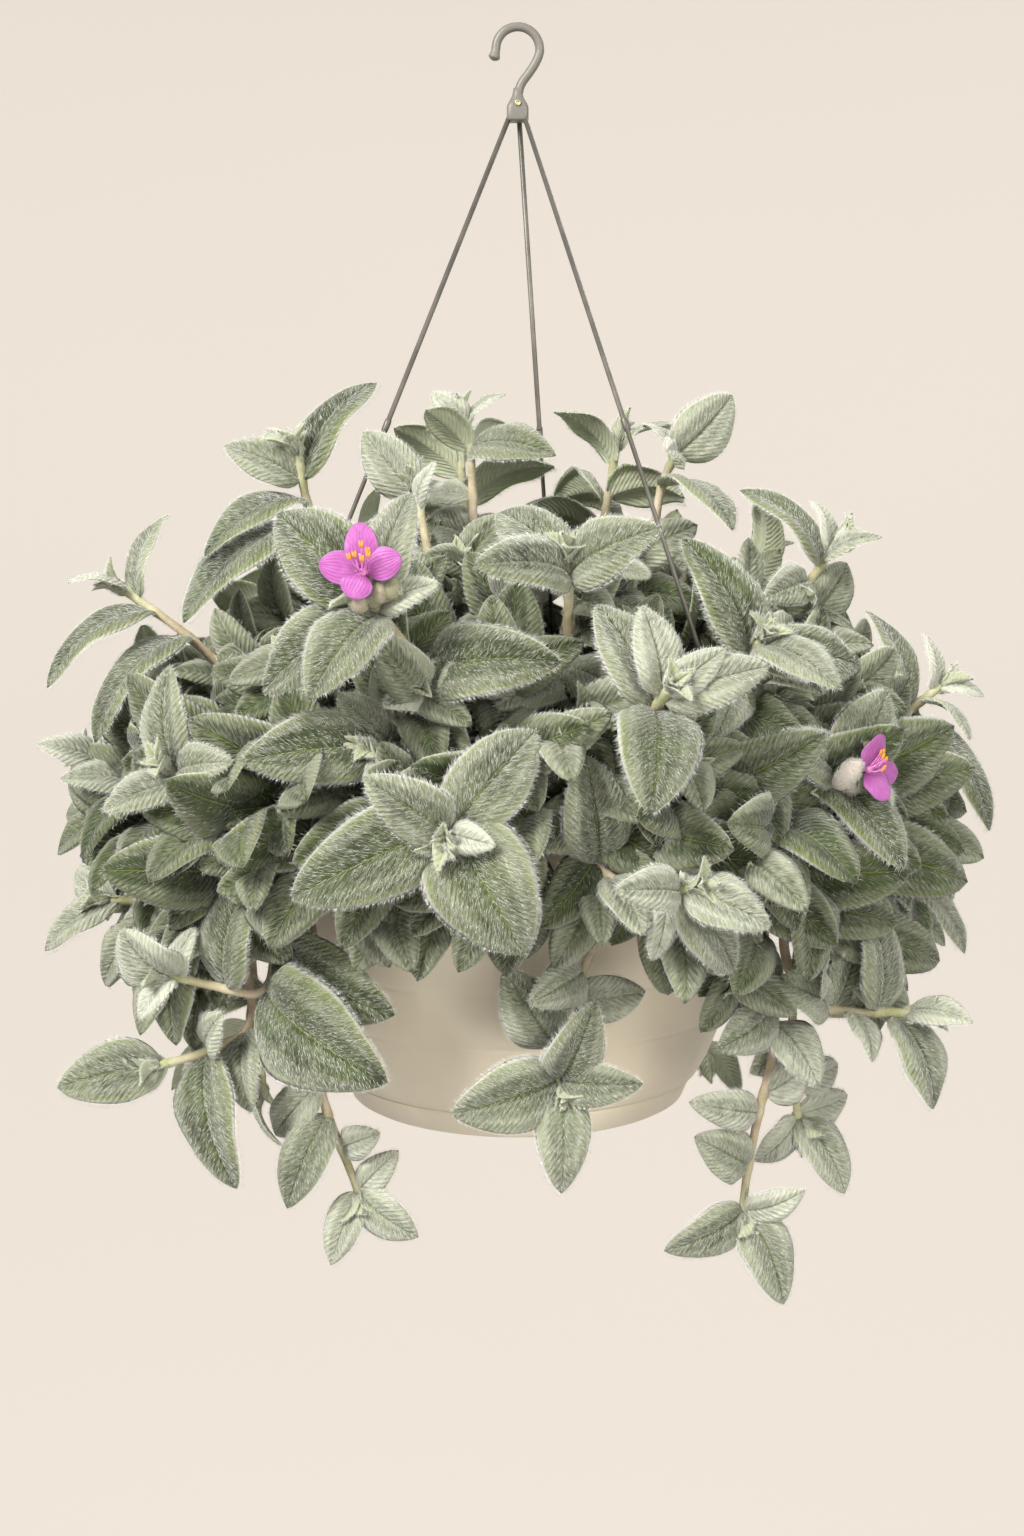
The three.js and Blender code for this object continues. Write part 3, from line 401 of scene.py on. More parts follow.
def plated_brass():
    """Dull plated brass."""
    look = new_finish("pale_brass", 0.36)
    colour = look.blend(look.cloud(700, 3, 0.3, 0.7), (0.50, 0.40, 0.22), (0.66, 0.55, 0.34))
    look.set({"Metallic": 0.85, "Base Color": colour})
    return look.owner


pin_profile = PIN_PROFILE + [(radius, -reach) for radius, reach in reversed(PIN_PROFILE)]
pin_points, pin_faces = lathe(pin_profile, PIN_SIDES)
pin_points = np.stack([pin_points[:, 0], pin_points[:, 2], PIN_Z - pin_points[:, 1]], -1)
pin = piece_of("hub_eyelet", (pin_points, pin_faces), plated_brass())
place_in(pin, "pale_brass", "hook_pin")

# ------------------------------------------------------------------ hanger wires
# Three steel wires in a thin smoky coat. Each leaves the hub, has one crimped joint part way
# down, and drops through a lug of the basket, where its end is turned outwards.
WIRE_RADIUS = 1.1
WIRE_SIDES = 14
WIRE_TOP_REACH = 3
WIRE_TOP_Z = HUB_BOTTOM_Z + 4
WIRE_FOOT_REACH = 130.5
WIRE_ANGLES = {"left": 202, "right": 318, "rear": 80}
WIRE_JOINT_Z = -171
# The crimped joint, by the way from its middle and the share of the wire's radius.
WIRE_JOINT = [(-3.2, 1.04), (-2.8, 1.3), (-1.6, 1.4), (1.6, 1.4), (2.6, 1.2), (3.2, 0.9)]
WIRE_DROP = 7.4  # how far the wire goes on under the rim before it turns out
RIM_Z = -330


def polar(angle, reach, z):
    """A place at an angle in degrees, a reach and a height."""
    turn = math.radians(angle)
    return np.array([reach * math.cos(turn), reach * math.sin(turn), z])


def wire_ends(angle):
    """Where a wire leaves the hub and where it meets the rim."""
    return polar(angle, WIRE_TOP_REACH, WIRE_TOP_Z), polar(angle, WIRE_FOOT_REACH, RIM_Z)


def wire_skin(angle):
    """A wire, its crimped joint and its turned end."""
    top, foot = wire_ends(angle)
    along = unit(foot - top)
    joint = top + along * ((top[2] - WIRE_JOINT_Z) / -along[2])
    under = foot + WIRE_DROP * along
    bend = [foot, foot + 6 * along, under + polar(angle, 0.6, -0.2), under + polar(angle, 5, -0.6)]
    turn = curve_through(bend, 5)
    line = [top, *(joint + shift * along for shift, _ in WIRE_JOINT), *turn]
    shares = [1.04, *(share for _, share in WIRE_JOINT), *([0.92] * len(turn))]
    return sweep(line, WIRE_RADIUS * np.array(shares), WIRE_SIDES)


def coated_wire():
    """Steel wire in a satin smoky coat, a little rubbed."""
    look = new_finish("smoke_wire", 0.38)
    colour = look.blend(look.cloud(60, 5, 0.45, 0.7), (0.105, 0.097, 0.082), (0.17, 0.158, 0.136))
    look.set({"Metallic": 0.25, "Base Color": colour})
    look.relief(look.noise(500), 0.05)
    return look.owner


smoke_wire = coated_wire()
for wire_side, wire_angle in WIRE_ANGLES.items():
    wire = piece_of(f"hanger_wire_{wire_side}", wire_skin(wire_angle), smoke_wire)
    place_in(wire, "smoke_wire", f"wire_{wire_side}")

# ------------------------------------------------------------------ basket
# A ten-inch bowl moulded in matte cream plastic, with a rolled rim, two faint rings round its wall
# and three lugs on the rim for the wires. The leaves hide all but the lowest part of it.
RIM_RADIUS = 127
RIM_DROP = 9
# The rolled rim and the ring under the floor, by the ways out and up from the rim's radius and
# height, and from the ring's radius and the seam.
RIM_PROFILE = [(-0.4, -7.6), (0.9, -7.3), (1.4, -6.6), (1.2, -1.2), (0.5, -0.3), (-0.5, 0), (-2.2, -0.1),
               (-3, -0.9), (-3.4, -3)]
SEAM_Z = -464
SEAM_RADIUS = 82.6
SEAM_UP = 0.3
BASE_Z = -476
BASE_RADIUS = 74
FOOT_RADIUS = BASE_RADIUS - 2.4
FOOT_Z = BASE_Z + 2.4
WALL = 2
FLOOR_OF_BOWL_Z = SEAM_Z + 2.4
BOWL_POWER = 0.75
BOWL_SIDES = 120
RING_HEIGHTS = (-406, -431)
RING_DEPTH = 0.45
RING_WIDTH = 1.2
LUG_REACH = RIM_RADIUS + 3.4
LUG_HALVES = (5.5, 5)
LUG_SQUARE = 4
LUG_SECTIONS = [(-0.4, 0.5), (-0.7, 0.12), (-1.1, 0), (-2.8, 0), (-3.2, 0.12), (-3.4, 0.5)]


def wall_radius(z):
    """How far out the bowl's wall is at a height."""
    up = np.clip((z - SEAM_Z) / (RIM_Z - SEAM_Z), 0, 1)
    return SEAM_RADIUS + (RIM_RADIUS - 2 - SEAM_RADIUS) * up ** BOWL_POWER


def bowl_skin():
    """The bowl and the ring under its floor that the saucer clips to."""
    heights = list(np.linspace(SEAM_Z + 1.5, RIM_Z - RIM_DROP, 30))
    for ring in RING_HEIGHTS:
        heights += [ring + share * RING_WIDTH for share in (-1, -0.4, 0.4, 1)]
    outside = []
    for z in sorted(heights):
        grooves = [math.exp(-(((z - ring) / (0.5 * RING_WIDTH)) ** 2)) for ring in RING_HEIGHTS]
        outside.append((wall_radius(z) - RING_DEPTH * sum(grooves), z))
    under = SEAM_Z + SEAM_UP
    foot = [(1, under), (FOOT_RADIUS - WALL, under), (FOOT_RADIUS - WALL, FOOT_Z), (FOOT_RADIUS, FOOT_Z),
            (FOOT_RADIUS, under), (SEAM_RADIUS - 0.9, under), (SEAM_RADIUS - 0.2, SEAM_Z + 0.7)]
    rim = [(RIM_RADIUS + out, RIM_Z + up) for out, up in RIM_PROFILE]
    inside = [(wall_radius(z) - WALL, z) for z in np.linspace(RIM_Z - RIM_DROP, SEAM_Z + 6, 12)]
    floor = [(SEAM_RADIUS - WALL, FLOOR_OF_BOWL_Z), (1, FLOOR_OF_BOWL_Z)]
    return lathe(foot + outside + rim + inside + floor, BOWL_SIDES)


def lug_skin(angle):
    """A rounded plate on the rim, round the place where a wire drops through."""
    rings = []
    for drop, shrink in LUG_SECTIONS:
        out, side = (half - shrink for half in LUG_HALVES)
        rings.append(squared_ring(24, out, side, LUG_SQUARE, RIM_Z + drop) + (LUG_REACH, 0, 0))
    points, faces = loft(rings)
    c, s = math.cos(math.radians(angle)), math.sin(math.radians(angle))
    return points @ np.array([[c, s, 0], [-s, c, 0], [0, 0, 1]]), faces


cream_plastic = moulded("cream_plastic", (0.82, 0.72, 0.56), (0.87, 0.78, 0.625), 0.5, 0.06)
basket_skins = [bowl_skin()] + [lug_skin(angle) for angle in WIRE_ANGLES.values()]
basket = piece_of("basket_bowl", joined(basket_skins), cream_plastic)
place_in(basket, "cream_plastic", "basket")

# ------------------------------------------------------------------ drip saucer
# A shallow dish of the same cream plastic, pushed up round the ring under the basket. It is a
# little narrower than the bowl, so a fine step and a shadow line run round between them.
SAUCER_RADIUS = SEAM_RADIUS - 1.1
# The dish by the ways out and up from its foot, and its lip from its own radius and the seam.
SAUCER_OUTSIDE = [(-1.5, 0), (0.6, 0.3), (3.2, 1.8)]
SAUCER_LIP = [(-1.5, -3.6), (-0.2, -0.8), (-0.5, -0.1), (-1.6, -0.1), (-WALL, -1)]
SAUCER_INSIDE = [(1.6, 3), (0, WALL)]
saucer_profile = [(1, BASE_Z)]
saucer_profile += [(BASE_RADIUS + out, BASE_Z + up) for out, up in SAUCER_OUTSIDE]
saucer_profile += [(SAUCER_RADIUS + out, SEAM_Z + up) for out, up in SAUCER_LIP]
saucer_profile += [(BASE_RADIUS + out, BASE_Z + up) for out, up in SAUCER_INSIDE]
saucer_profile.append((1, BASE_Z + WALL))
saucer = piece_of("saucer_dish", lathe(saucer_profile, BOWL_SIDES), cream_plastic)
place_in(saucer, "cream_plastic", "drip_saucer")

# ------------------------------------------------------------------ soil
# Moist bark and peat up to just under the rim, crumbly on top, with chips of bark and white
# grains of perlite. Every stem stands in it.
SOIL_Z = -342
SOIL_CROWN = 3
SOIL_RINGS = 26
SOIL_SIDES = 96
SOIL_GAP = 2.4  # from the outside of the bowl's wall
# The crumbs on it: name, finish and its two colours and grain, how many, their sizes and flatness.
CRUMBS = [
    ("soil_bark_chips", "bark_chips", (0.06, 0.032, 0.017), (0.19, 0.11, 0.06), 300, 420, 1.2, 4.6, 0.35),
    ("soil_perlite", "perlite", (0.55, 0.53, 0.48), (0.78, 0.77, 0.73), 500, 130, 0.7, 1.9, 0.8),
]


def crumbly(name, dark, pale, scale):
    """Dry and moist crumbs."""
    look = new_finish(name, 0.92)
    look.set({"Base Color": look.blend(look.cloud(scale, 6, 0.38, 0.66), dark, pale)})
    look.relief(look.noise(scale * 2.2, 5), 1.2)
    return look.owner


def soil_skin(chance):
    """The filling of the bowl, rough on top."""
    levels = [(SEAM_RADIUS - SOIL_GAP, FLOOR_OF_BOWL_Z + 0.4)]
    levels += [(wall_radius(z) - SOIL_GAP, z) for z in np.linspace(FLOOR_OF_BOWL_Z + 5, SOIL_Z - 1, 8)]
    edge = wall_radius(SOIL_Z) - SOIL_GAP - 0.2
    for share in np.linspace(0.985, 0.02, SOIL_RINGS):
        rough = SOIL_Z + SOIL_CROWN * (1 - share) - 1.5 + 1.6 * chance.random(SOIL_SIDES)
        levels.append((edge * share, rough))
    angle = round_angles(SOIL_SIDES)
    return loft([ring_of(r * np.cos(angle), r * np.sin(angle), z) for r, z in levels])


def crumb_skins(chance, count, low, high, flat):
    """Loose angular bits scattered on the soil."""
    corners = np.array([(1, 0, 0), (0, 1, 0), (-1, 0, 0), (0, -1, 0), (0, 0, 1), (0, 0, -1)], float)
    ring = np.arange(4)
    after = (ring + 1) % 4
    faces = np.concatenate([np.stack([ring, after, np.full(4, 4)], -1),
                            np.stack([after, ring, np.full(4, 5)], -1)])
    bits = []
    for _ in range(count):
        reach = 116 * math.sqrt(chance.random())
        place = polar(360 * chance.random(), reach, SOIL_Z + 1.5 + SOIL_CROWN * (1 - reach / 124))
        size = low + (high - low) * chance.random() ** 2
        axes = np.linalg.qr(chance.standard_normal((3, 3)))[0]
        shape = corners * (0.6 + 0.6 * chance.random((6, 1))) * (1, 0.6 + 0.4 * chance.random(), flat)
        axes = axes if np.linalg.det(axes) > 0 else -axes
        bits.append((place + size * shape @ axes, [faces]))
    return joined(bits)


soil_chance = np.random.default_rng(11)
potting_mix = crumbly("potting_mix", (0.018, 0.011, 0.007), (0.085, 0.055, 0.034), 260)
soil = piece_of("soil_filling", soil_skin(soil_chance), potting_mix)
place_in(soil, "potting_mix", "soil")
for bits_name, finish_name, dark, pale, scale, *bit_sizes in CRUMBS:
    bits = crumb_skins(soil_chance, *bit_sizes)
    crumbs = piece_of(bits_name, bits, crumbly(finish_name, dark, pale, scale), smooth=False)
    place_in(crumbs, "potting_mix")

# ------------------------------------------------------------------ leafy stems
# The large leaves of the plant on their trailing stems. A leaf is a thick folded blade that clasps
# the stem, with a grooved midrib and two rounded halves. White hairs lie over both its faces,
# slanting from the midrib to the margin, and stand out as a fringe round it and on the stem.
SPAN_STEPS = 8
NARROWEST = 0.44
BROADER = 1.18  # a blade with its fringe and rounded halves, to the plain fold of its solid
ROOT_OFFSET = 1.2
STREAK_SLANT = 40  # degrees between the midrib and the hairs that lie on a blade
STREAK_ACROSS = 0.33
STREAK_ALONG = 2.6
RIDGES = 2  # along each half of a blade, between its curved veins
UPPER_HAIRS = 0.84
LOWER_HAIRS = 0.06
FRINGE_HAIRS = 3.2  # on each millimetre of margin
STEM_HAIRS = 0.30
HAIR_WIDTH = 0.14
# How a blade is shaped: the powers that round its base and draw out its end, how steeply a half
# rises from the midrib and falls to the margin, how wide it lies, its arch, its thickness and how
# high its ridges stand.
LEAF = {"base": 0.54, "tip": 0.74, "rise": 0.80, "fall": 0.72, "lie": 0.96, "arch": 0.30, "thick": 1.0,
        "ridge": 0.035}
YOUNG = {"base": 0.5, "tip": 0.9, "rise": 1.1, "fall": 0.45, "lie": 0.78, "arch": 0.20, "thick": 0.9,
         "ridge": 0}
THINNED = 0.72  # how much of its thickness a blade loses by the margin
BLADE_MIDDLE = 0.42  # the share of the way to its end where a blade is arched highest
NARROW_END = 0.012  # the share of its width that a blade keeps at root and end
RIPPLE = 0.10  # the waves of its margin, to half its width, and how many there are in its length
RIPPLES = 1.4
FULL_HAIRED = 50  # the length of a blade whose hairs are neither longer nor shorter than stated
HAIR_LENGTHS = (1.4, 3.0)
HAIR_LEAN = (3, 26)  # degrees between a hair and the face it lies on
HAIR_UNEVEN = 0.32
FRINGE_LENGTHS = (1.4, 3.1)
FRINGE_RISE = (-0.4, 0.45)
HAIR_SUNK = 0.12  # how deep in the skin a hair starts
# A leaf's upper face looks up the stem, to the sky and out to the light, by these shares. Only a leaf
# before the middle of the plant, up to so far to the rear, turns to the front as well.
FACING = (0.4, 0.6, 0.9)
FRONT_HALF = 20
STEM_TAPER = 0.34
JOINT_LENGTH = 3.2  # of the swelling where a leaf clasps its stem
JOINT_SWELL = 0.2
GREEN_LENGTH = 38  # of the young end of a stem
YOUNG_TONE = 0.5
LARGE_GRID = (20, 16)
YOUNG_GRID = (11, 6)
HAIR_SHARE = 1.0
STEM_SEED = 100
YOUNG_LEAVES = 2
YOUNG_LENGTH = 17
YOUNG_WIDTH = 9
YOUNG_OPEN = 24
# The leaves still folded in front of the young pair: length, width, how open, and their half turn.
BUD_LEAVES = [(15, 10, 40, 0.5), (14, 9.5, 34, 1.5), (12.5, 8.5, 22, 0), (11, 7.5, 17, 1), (8, 5.5, 6, 0.5)]
BUD_LIGHT = 0.8  # how far they turn to the light
CUBE = 2
ROOM_CORNER = (-240, -240, -560)
ROOM_CUBES = 240
# The ways a leaf may have turned to clear another: swing in degrees, lift in degrees, size.
TURNS = [
    (0, 0, 1), (12, 0, 1), (-12, 0, 1), (0, 14, 1), (0, -14, 1), (22, 10, 0.95), (-22, 10, 0.95),
    (22, -12, 0.9), (-22, -12, 0.9), (0, 26, 0.85), (0, -28, 0.85), (38, 0, 0.8), (-38, 0, 0.8),
    (0, 0, 0.7), (24, 24, 0.7), (-24, 24, 0.7), (60, 10, 0.7), (-60, 10, 0.7), (0, 45, 0.65), (0, 0, 0.5),
]
# The rear half grows by one rule. Each row: the height its stems end at, how far out they end and
# start, the height they pass over on the way, and their angles from the right towards the rear.
REAR_LEAVES = 6
REAR_RADIUS = 2.8
RIM_BEND = (146, -348)  # how far out and how high a hanging stem passes the rim
REAR_TIERS = [
    ("crown", -182, 62, 22, -262, (42, 118)),
    ("dome", -236, 136, 42, -292, (28, 62, 98, 146)),
    ("side", -306, 190, 66, -312, (18, 47, 92, 122, 160)),
    ("low", -378, 176, 88, -317, (33, 64, 106, 138, 172)),
    ("trail", -492, 138, 104, -317, (50, 122, 155)),
]
# The stems of the front, as they stand in the photograph. Each: its name, where it leaves the soil
# to the right and to the rear, its radius there, its path, and its leaves. A leaf is how far back
# from the stem's end it grows, how far its end reaches to the right, rear and up, and its width.
FRONT_STEMS = [
  ("flowering_front", (-14, -50), 3.2,
    [[-20, -95, -316], [-27, -118, -293], [-36, -135, -270], [-47, -150, -253], [-55, -160, -241]],
    [[2, -38, 24, 34, 28], [2, 14, 8, 42, 20], [4, 24, -8, 10, 12], [6, -24, -28, -30, 24],
      [4, -44, 8, -32, 18], [42, 52, -24, 6, 27], [55, -20, -22, -2, 15]]),
  ("front_rosette", (0, -62), 3,
    [[-4, -100, -312], [-18, -155, -316], [-26, -184, -326]],
    [[4, -31, -15, 23, 20], [3, 17, -15, -2, 11], [6, 31, 15, 35, 26], [8, 26, -14, -45, 36],
      [12, -62, 0, -29, 29]]),
  ("centre", (10, -38), 3,
    [[17, -85, -300], [19, -107, -268], [20, -115, -241], [20, -120, -227]],
    [[6, -37, -32, 5, 16], [6, 34, -22, 19, 23], [4, -28, 32, 22, 19], [45, 30, -20, -15, 20],
      [48, -28, -25, -12, 20]]),
  ("right_of_centre", (28, -46), 3,
    [[36, -95, -316], [42, -125, -298], [50, -150, -284], [56, -166, -273]],
    [[6, -8, 4, 34, 17], [14, -22, 10, 38, 22], [4, 22, -15, 14, 13], [8, 38, -22, 6, 20],
      [16, -4, -40, -34, 29]]),
  ("right_upper", (44, -34), 3,
    [[66, -62, -305], [76, -80, -292], [89, -110, -270], [95, -120, -258]],
    [[8, -28, -3, 46, 23], [4, 29, -30, -14, 14], [8, 46, 20, -6, 17], [26, -10, -32, -20, 17]]),
  ("front_low", (14, -84), 3,
    [[20, -122, -320], [32, -148, -344], [50, -162, -352], [64, -170, -348]],
    [[4, -26, -24, 5, 14], [2, 16, 2, 12, 11], [2, 28, -18, -12, 19], [10, -10, 0, -50, 22],
      [6, 10, 6, -50, 25], [36, -20, -28, -32, 23], [44, -6, -12, 44, 25]]),
  ("flowering_right", (62, -28), 3,
    [[78, -48, -312], [102, -70, -309], [121, -94, -314], [133, -110, -312]],
    [[8, 22, 8, 33, 26], [10, -28, -28, 18, 15], [22, 33, -34, -35, 25], [40, -8, -28, -18, 21]]),
  ("right_low", (72, -44), 2.9,
    [[110, -74, -319], [113, -90, -348], [110, -98, -385], [117, -101, -403], [130, -106, -411],
      [161, -112, -411]],
    [[2, 26, -14, 1, 14], [8, 16, -8, -38, 22], [34, -42, -36, -18, 28], [26, 2, -6, -40, 21],
      [32, 9, 20, 35, 19], [14, -5, 14, 44, 22], [58, 8, -36, 6, 20]]),
  ("right_trailing", (60, -62), 2.7,
    [[88, -98, -319], [98, -110, -352], [101, -110, -393], [105, -112, -422], [99, -109, -456],
      [95, -106, -484], [94, -105, -499]],
    [[2, -34, -15, -12, 16], [2, 24, -10, 12, 13], [3, 16, -10, -38, 20], [22, -24, -14, 17, 19],
      [46, -30, -12, 8, 13], [54, 18, 8, 10, 17], [85, 25, -25, -10, 22], [92, -24, -20, -12, 20]]),
  ("right_short_trail", (78, -30), 2.6,
    [[117, -62, -318], [124, -73, -348], [117, -84, -400], [116, -88, -435], [119, -88, -464]],
    [[2, 19, -8, -31, 18], [3, 22, 8, 6, 14], [2, -14, -4, -22, 14], [16, 19, 8, 7, 16],
      [40, -20, -18, -14, 17], [60, 22, -18, -10, 19]]),
  ("front_trailing", (32, -88), 2.7,
    [[40, -124, -319], [38, -136, -345], [31, -131, -375], [22, -131, -398], [14, -134, -420],
      [17, -141, -434]],
    [[4, -42, -17, -9, 25], [4, 32, -20, 4, 16], [4, 18, -28, 30, 19], [1, 0, -6, -41, 19],
      [18, -20, -4, 32, 22], [36, 30, 2, 4, 17], [50, -22, -22, -8, 18]]),
  ("left_low", (-70, -48), 2.9,
    [[-90, -97, -318], [-99, -106, -348], [-99, -112, -385], [-104, -116, -401],
      [-123, -118, -398], [-141, -120, -393]],
    [[2, -20, -7, 22, 24], [3, -16, -12, -11, 12], [4, 8, -2, 21, 12], [24, 14, -3, 51, 25],
      [40, 52, -40, -27, 38], [56, 50, -24, -20, 30]]),
  ("left_lower", (-84, -28), 2.8,
    [[-117, -66, -318], [-121, -81, -348], [-113, -93, -395], [-112, -98, -420],
      [-127, -106, -428], [-147, -112, -433]],
    [[2, -44, -4, 2, 23], [4, -22, -8, -23, 18], [20, 14, -19, -52, 26], [40, 22, -8, -47, 27],
      [22, 8, -17, 20, 15], [30, -20, 10, -24, 16]]),
  ("left_trailing", (-56, -66), 2.7,
    [[-80, -105, -318], [-86, -115, -348], [-82, -111, -395], [-84, -108, -425],
      [-80, -105, -452], [-72, -104, -475], [-66, -104, -491]],
    [[2, 17, -2, 18, 12], [1, 25, -11, -15, 16], [2, -11, -8, -29, 14], [22, 17, -8, 9, 13],
      [38, -16, -11, -37, 17], [52, -20, 14, -27, 15], [70, 20, -22, -10, 18], [95, -22, -22, -8, 20]]),
  ("top_far_left", (-30, -8), 2.8,
    [[-66, -4, -270], [-84, -8, -230], [-93, -16, -205], [-96, -22, -183]],
    [[12, -34, 1, 15, 18], [12, 32, 16, 43, 20], [22, -41, -30, -23, 18], [36, -52, -50, -38, 22],
      [5, -13, 9, 20, 11]]),
  ("left_upper", (-48, -10), 2.8,
    [[-90, -18, -300], [-121, -26, -283], [-149, -25, -260], [-175, -15, -243]],
    [[2, -29, -5, 0, 13], [8, 11, 17, 37, 16], [18, -44, -20, -32, 20], [38, -36, -33, -43, 24],
      [55, 20, -35, -10, 20]]),
  ("left_shoulder", (-42, -40), 2.9,
    [[-80, -64, -313], [-103, -84, -321], [-120, -104, -326], [-138, -122, -309]],
    [[4, -3, 5, 43, 17], [4, 26, -25, 8, 16], [3, -16, -8, 9, 10], [12, -32, -19, -8, 17],
      [28, -12, -20, -24, 18]]),
  ("left_side", (-66, -14), 2.8,
    [[-112, -20, -317], [-138, -32, -332], [-161, -38, -329], [-185, -30, -318]],
    [[2, -28, -5, 10, 14], [24, -42, -12, -34, 18], [32, -30, -32, -46, 22], [12, 0, 20, 32, 16],
      [45, 10, -30, -30, 20]]),
  ("left_drooping", (-86, -2), 2.7,
    [[-130, -3, -317], [-143, -10, -343], [-145, -26, -368], [-158, -40, -378], [-179, -46, -377]],
    [[4, -31, -10, -22, 16], [14, -18, -14, -41, 18], [3, -26, 16, 9, 13], [34, -20, -30, -30, 20],
      [60, -25, -15, -20, 20]]),
  ("left_of_centre", (-28, -44), 2.8,
    [[-34, -84, -312], [-38, -105, -302], [-49, -126, -299], [-56, -136, -299]],
    [[6, -46, -34, -14, 28], [14, -19, -16, 22, 18], [2, 8, -18, -16, 15]]),
  ("top_right", (22, -6), 2.8,
    [[46, -28, -262], [57, -34, -229], [63, -22, -198], [71, -12, -181]],
    [[4, 24, 9, 27, 22], [3, -11, 14, 18, 12], [8, -24, -22, 6, 16], [20, 27, -38, -19, 18],
      [40, -28, -20, -10, 18], [44, 26, 10, -14, 20]]),
  ("top_far_right", (40, -4), 2.8,
    [[74, -18, -290], [98, -28, -264], [125, -20, -243], [142, -12, -223]],
    [[12, -37, -4, 33, 18], [6, 1, 14, 30, 14], [2, 12, 2, 11, 10], [10, 36, -20, -17, 16],
      [22, -24, -31, -6, 17], [45, 24, -32, -18, 20], [50, -20, 25, 15, 18]]),
  ("right_side", (60, -4), 2.8,
    [[104, -16, -314], [147, -28, -316], [173, -20, -298], [190, -12, -286]],
    [[22, -16, 15, 45, 20], [5, -3, 9, 26, 12], [1, 20, -3, -4, 11], [12, 17, -22, -15, 15],
      [26, 34, -32, -45, 22], [50, 14, -36, -20, 22], [48, -10, 30, 20, 20]]),
  ("top_centre", (-6, 8), 2.8,
    [[-14, 0, -270], [-19, -6, -227], [-21, 4, -184], [-23, 10, -168]],
    [[2, -16, 0, 15, 12], [2, 15, 5, 19, 14], [14, 38, -26, -3, 18], [14, -19, -21, 17, 14],
      [36, -30, -24, -8, 18], [50, 26, 26, -6, 20], [54, -24, 24, 4, 20]]),
  ("top_left", (-16, -14), 2.8,
    [[-30, -34, -262], [-38, -40, -229], [-44, -31, -199]],
    [[3, -22, 10, 28, 20], [3, 10, 10, 15, 11], [8, 22, -26, 8, 15], [30, -26, -24, -8, 20],
      [40, 26, -22, -14, 20]]),
  ("right_drooping", (84, -8), 2.7,
    [[130, -16, -317], [141, -30, -343], [147, -44, -362], [160, -50, -367], [178, -50, -370]],
    [[2, 23, 5, 7, 13], [10, 23, -20, -27, 18], [20, 0, -30, -28, 20], [26, -14, -30, -24, 19],
      [45, 20, -25, -30, 20]]),
]
UP = np.array([0, 0, 1.0])
FRONT_LIGHT = np.array([0, -1.0, 0])


def draw(stem, leaf, use):
    """A number from 0 to 1 that is always the same for the same plant part."""
    wave = math.sin(stem * 12.9898 + leaf * 78.233 + use * 37.719) * 43758.5453
    return wave - math.floor(wave)


def grid_faces(index):
    """Four-cornered faces between the points of a grid."""
    corners = [index[:-1, :-1], index[:-1, 1:], index[1:, 1:], index[1:, :-1]]
    return np.stack(corners, -1).reshape(-1, 4)


class Room:
    """Which small cubes round the basket hold a leaf or stem, and how far out the large leaves lie."""

    def __init__(self):
        self.held = np.zeros((ROOM_CUBES, ROOM_CUBES, ROOM_CUBES), bool)
        self.front = np.full((ROOM_CUBES, ROOM_CUBES), np.nan)
        self.rear = self.front.copy()

    def cubes(self, places):
        spots = np.floor((np.reshape(places, (-1, 3)) - ROOM_CORNER) / CUBE).astype(int)
        return tuple(np.clip(spots, 0, ROOM_CUBES - 1).T)

    def take(self, places):
        self.held[self.cubes(places)] = True

    def take_light(self, places):
        """Places whose light from their own side, the front or the rear, is kept free."""
        self.take(places)
        across, _, up = self.cubes(places)
        depth = places.reshape(-1, 3)[:, 1]
        front = depth < 0
        np.fmin.at(self.front, (across[front], up[front]), depth[front])
        np.fmax.at(self.rear, (across[~front], up[~front]), depth[~front])

    def crowded(self, places):
        """The share of some places that is held already."""
        return self.held[self.cubes(places)].mean()

    def shading(self, places):
        """The share of some places that would stand before a large leaf."""
        across, _, up = self.cubes(places)
        depth = places.reshape(-1, 3)[:, 1]
        if depth.mean() < 0:
            return (depth < self.front[across, up] - 1).mean()
        return (depth > self.rear[across, up] + 1).mean()


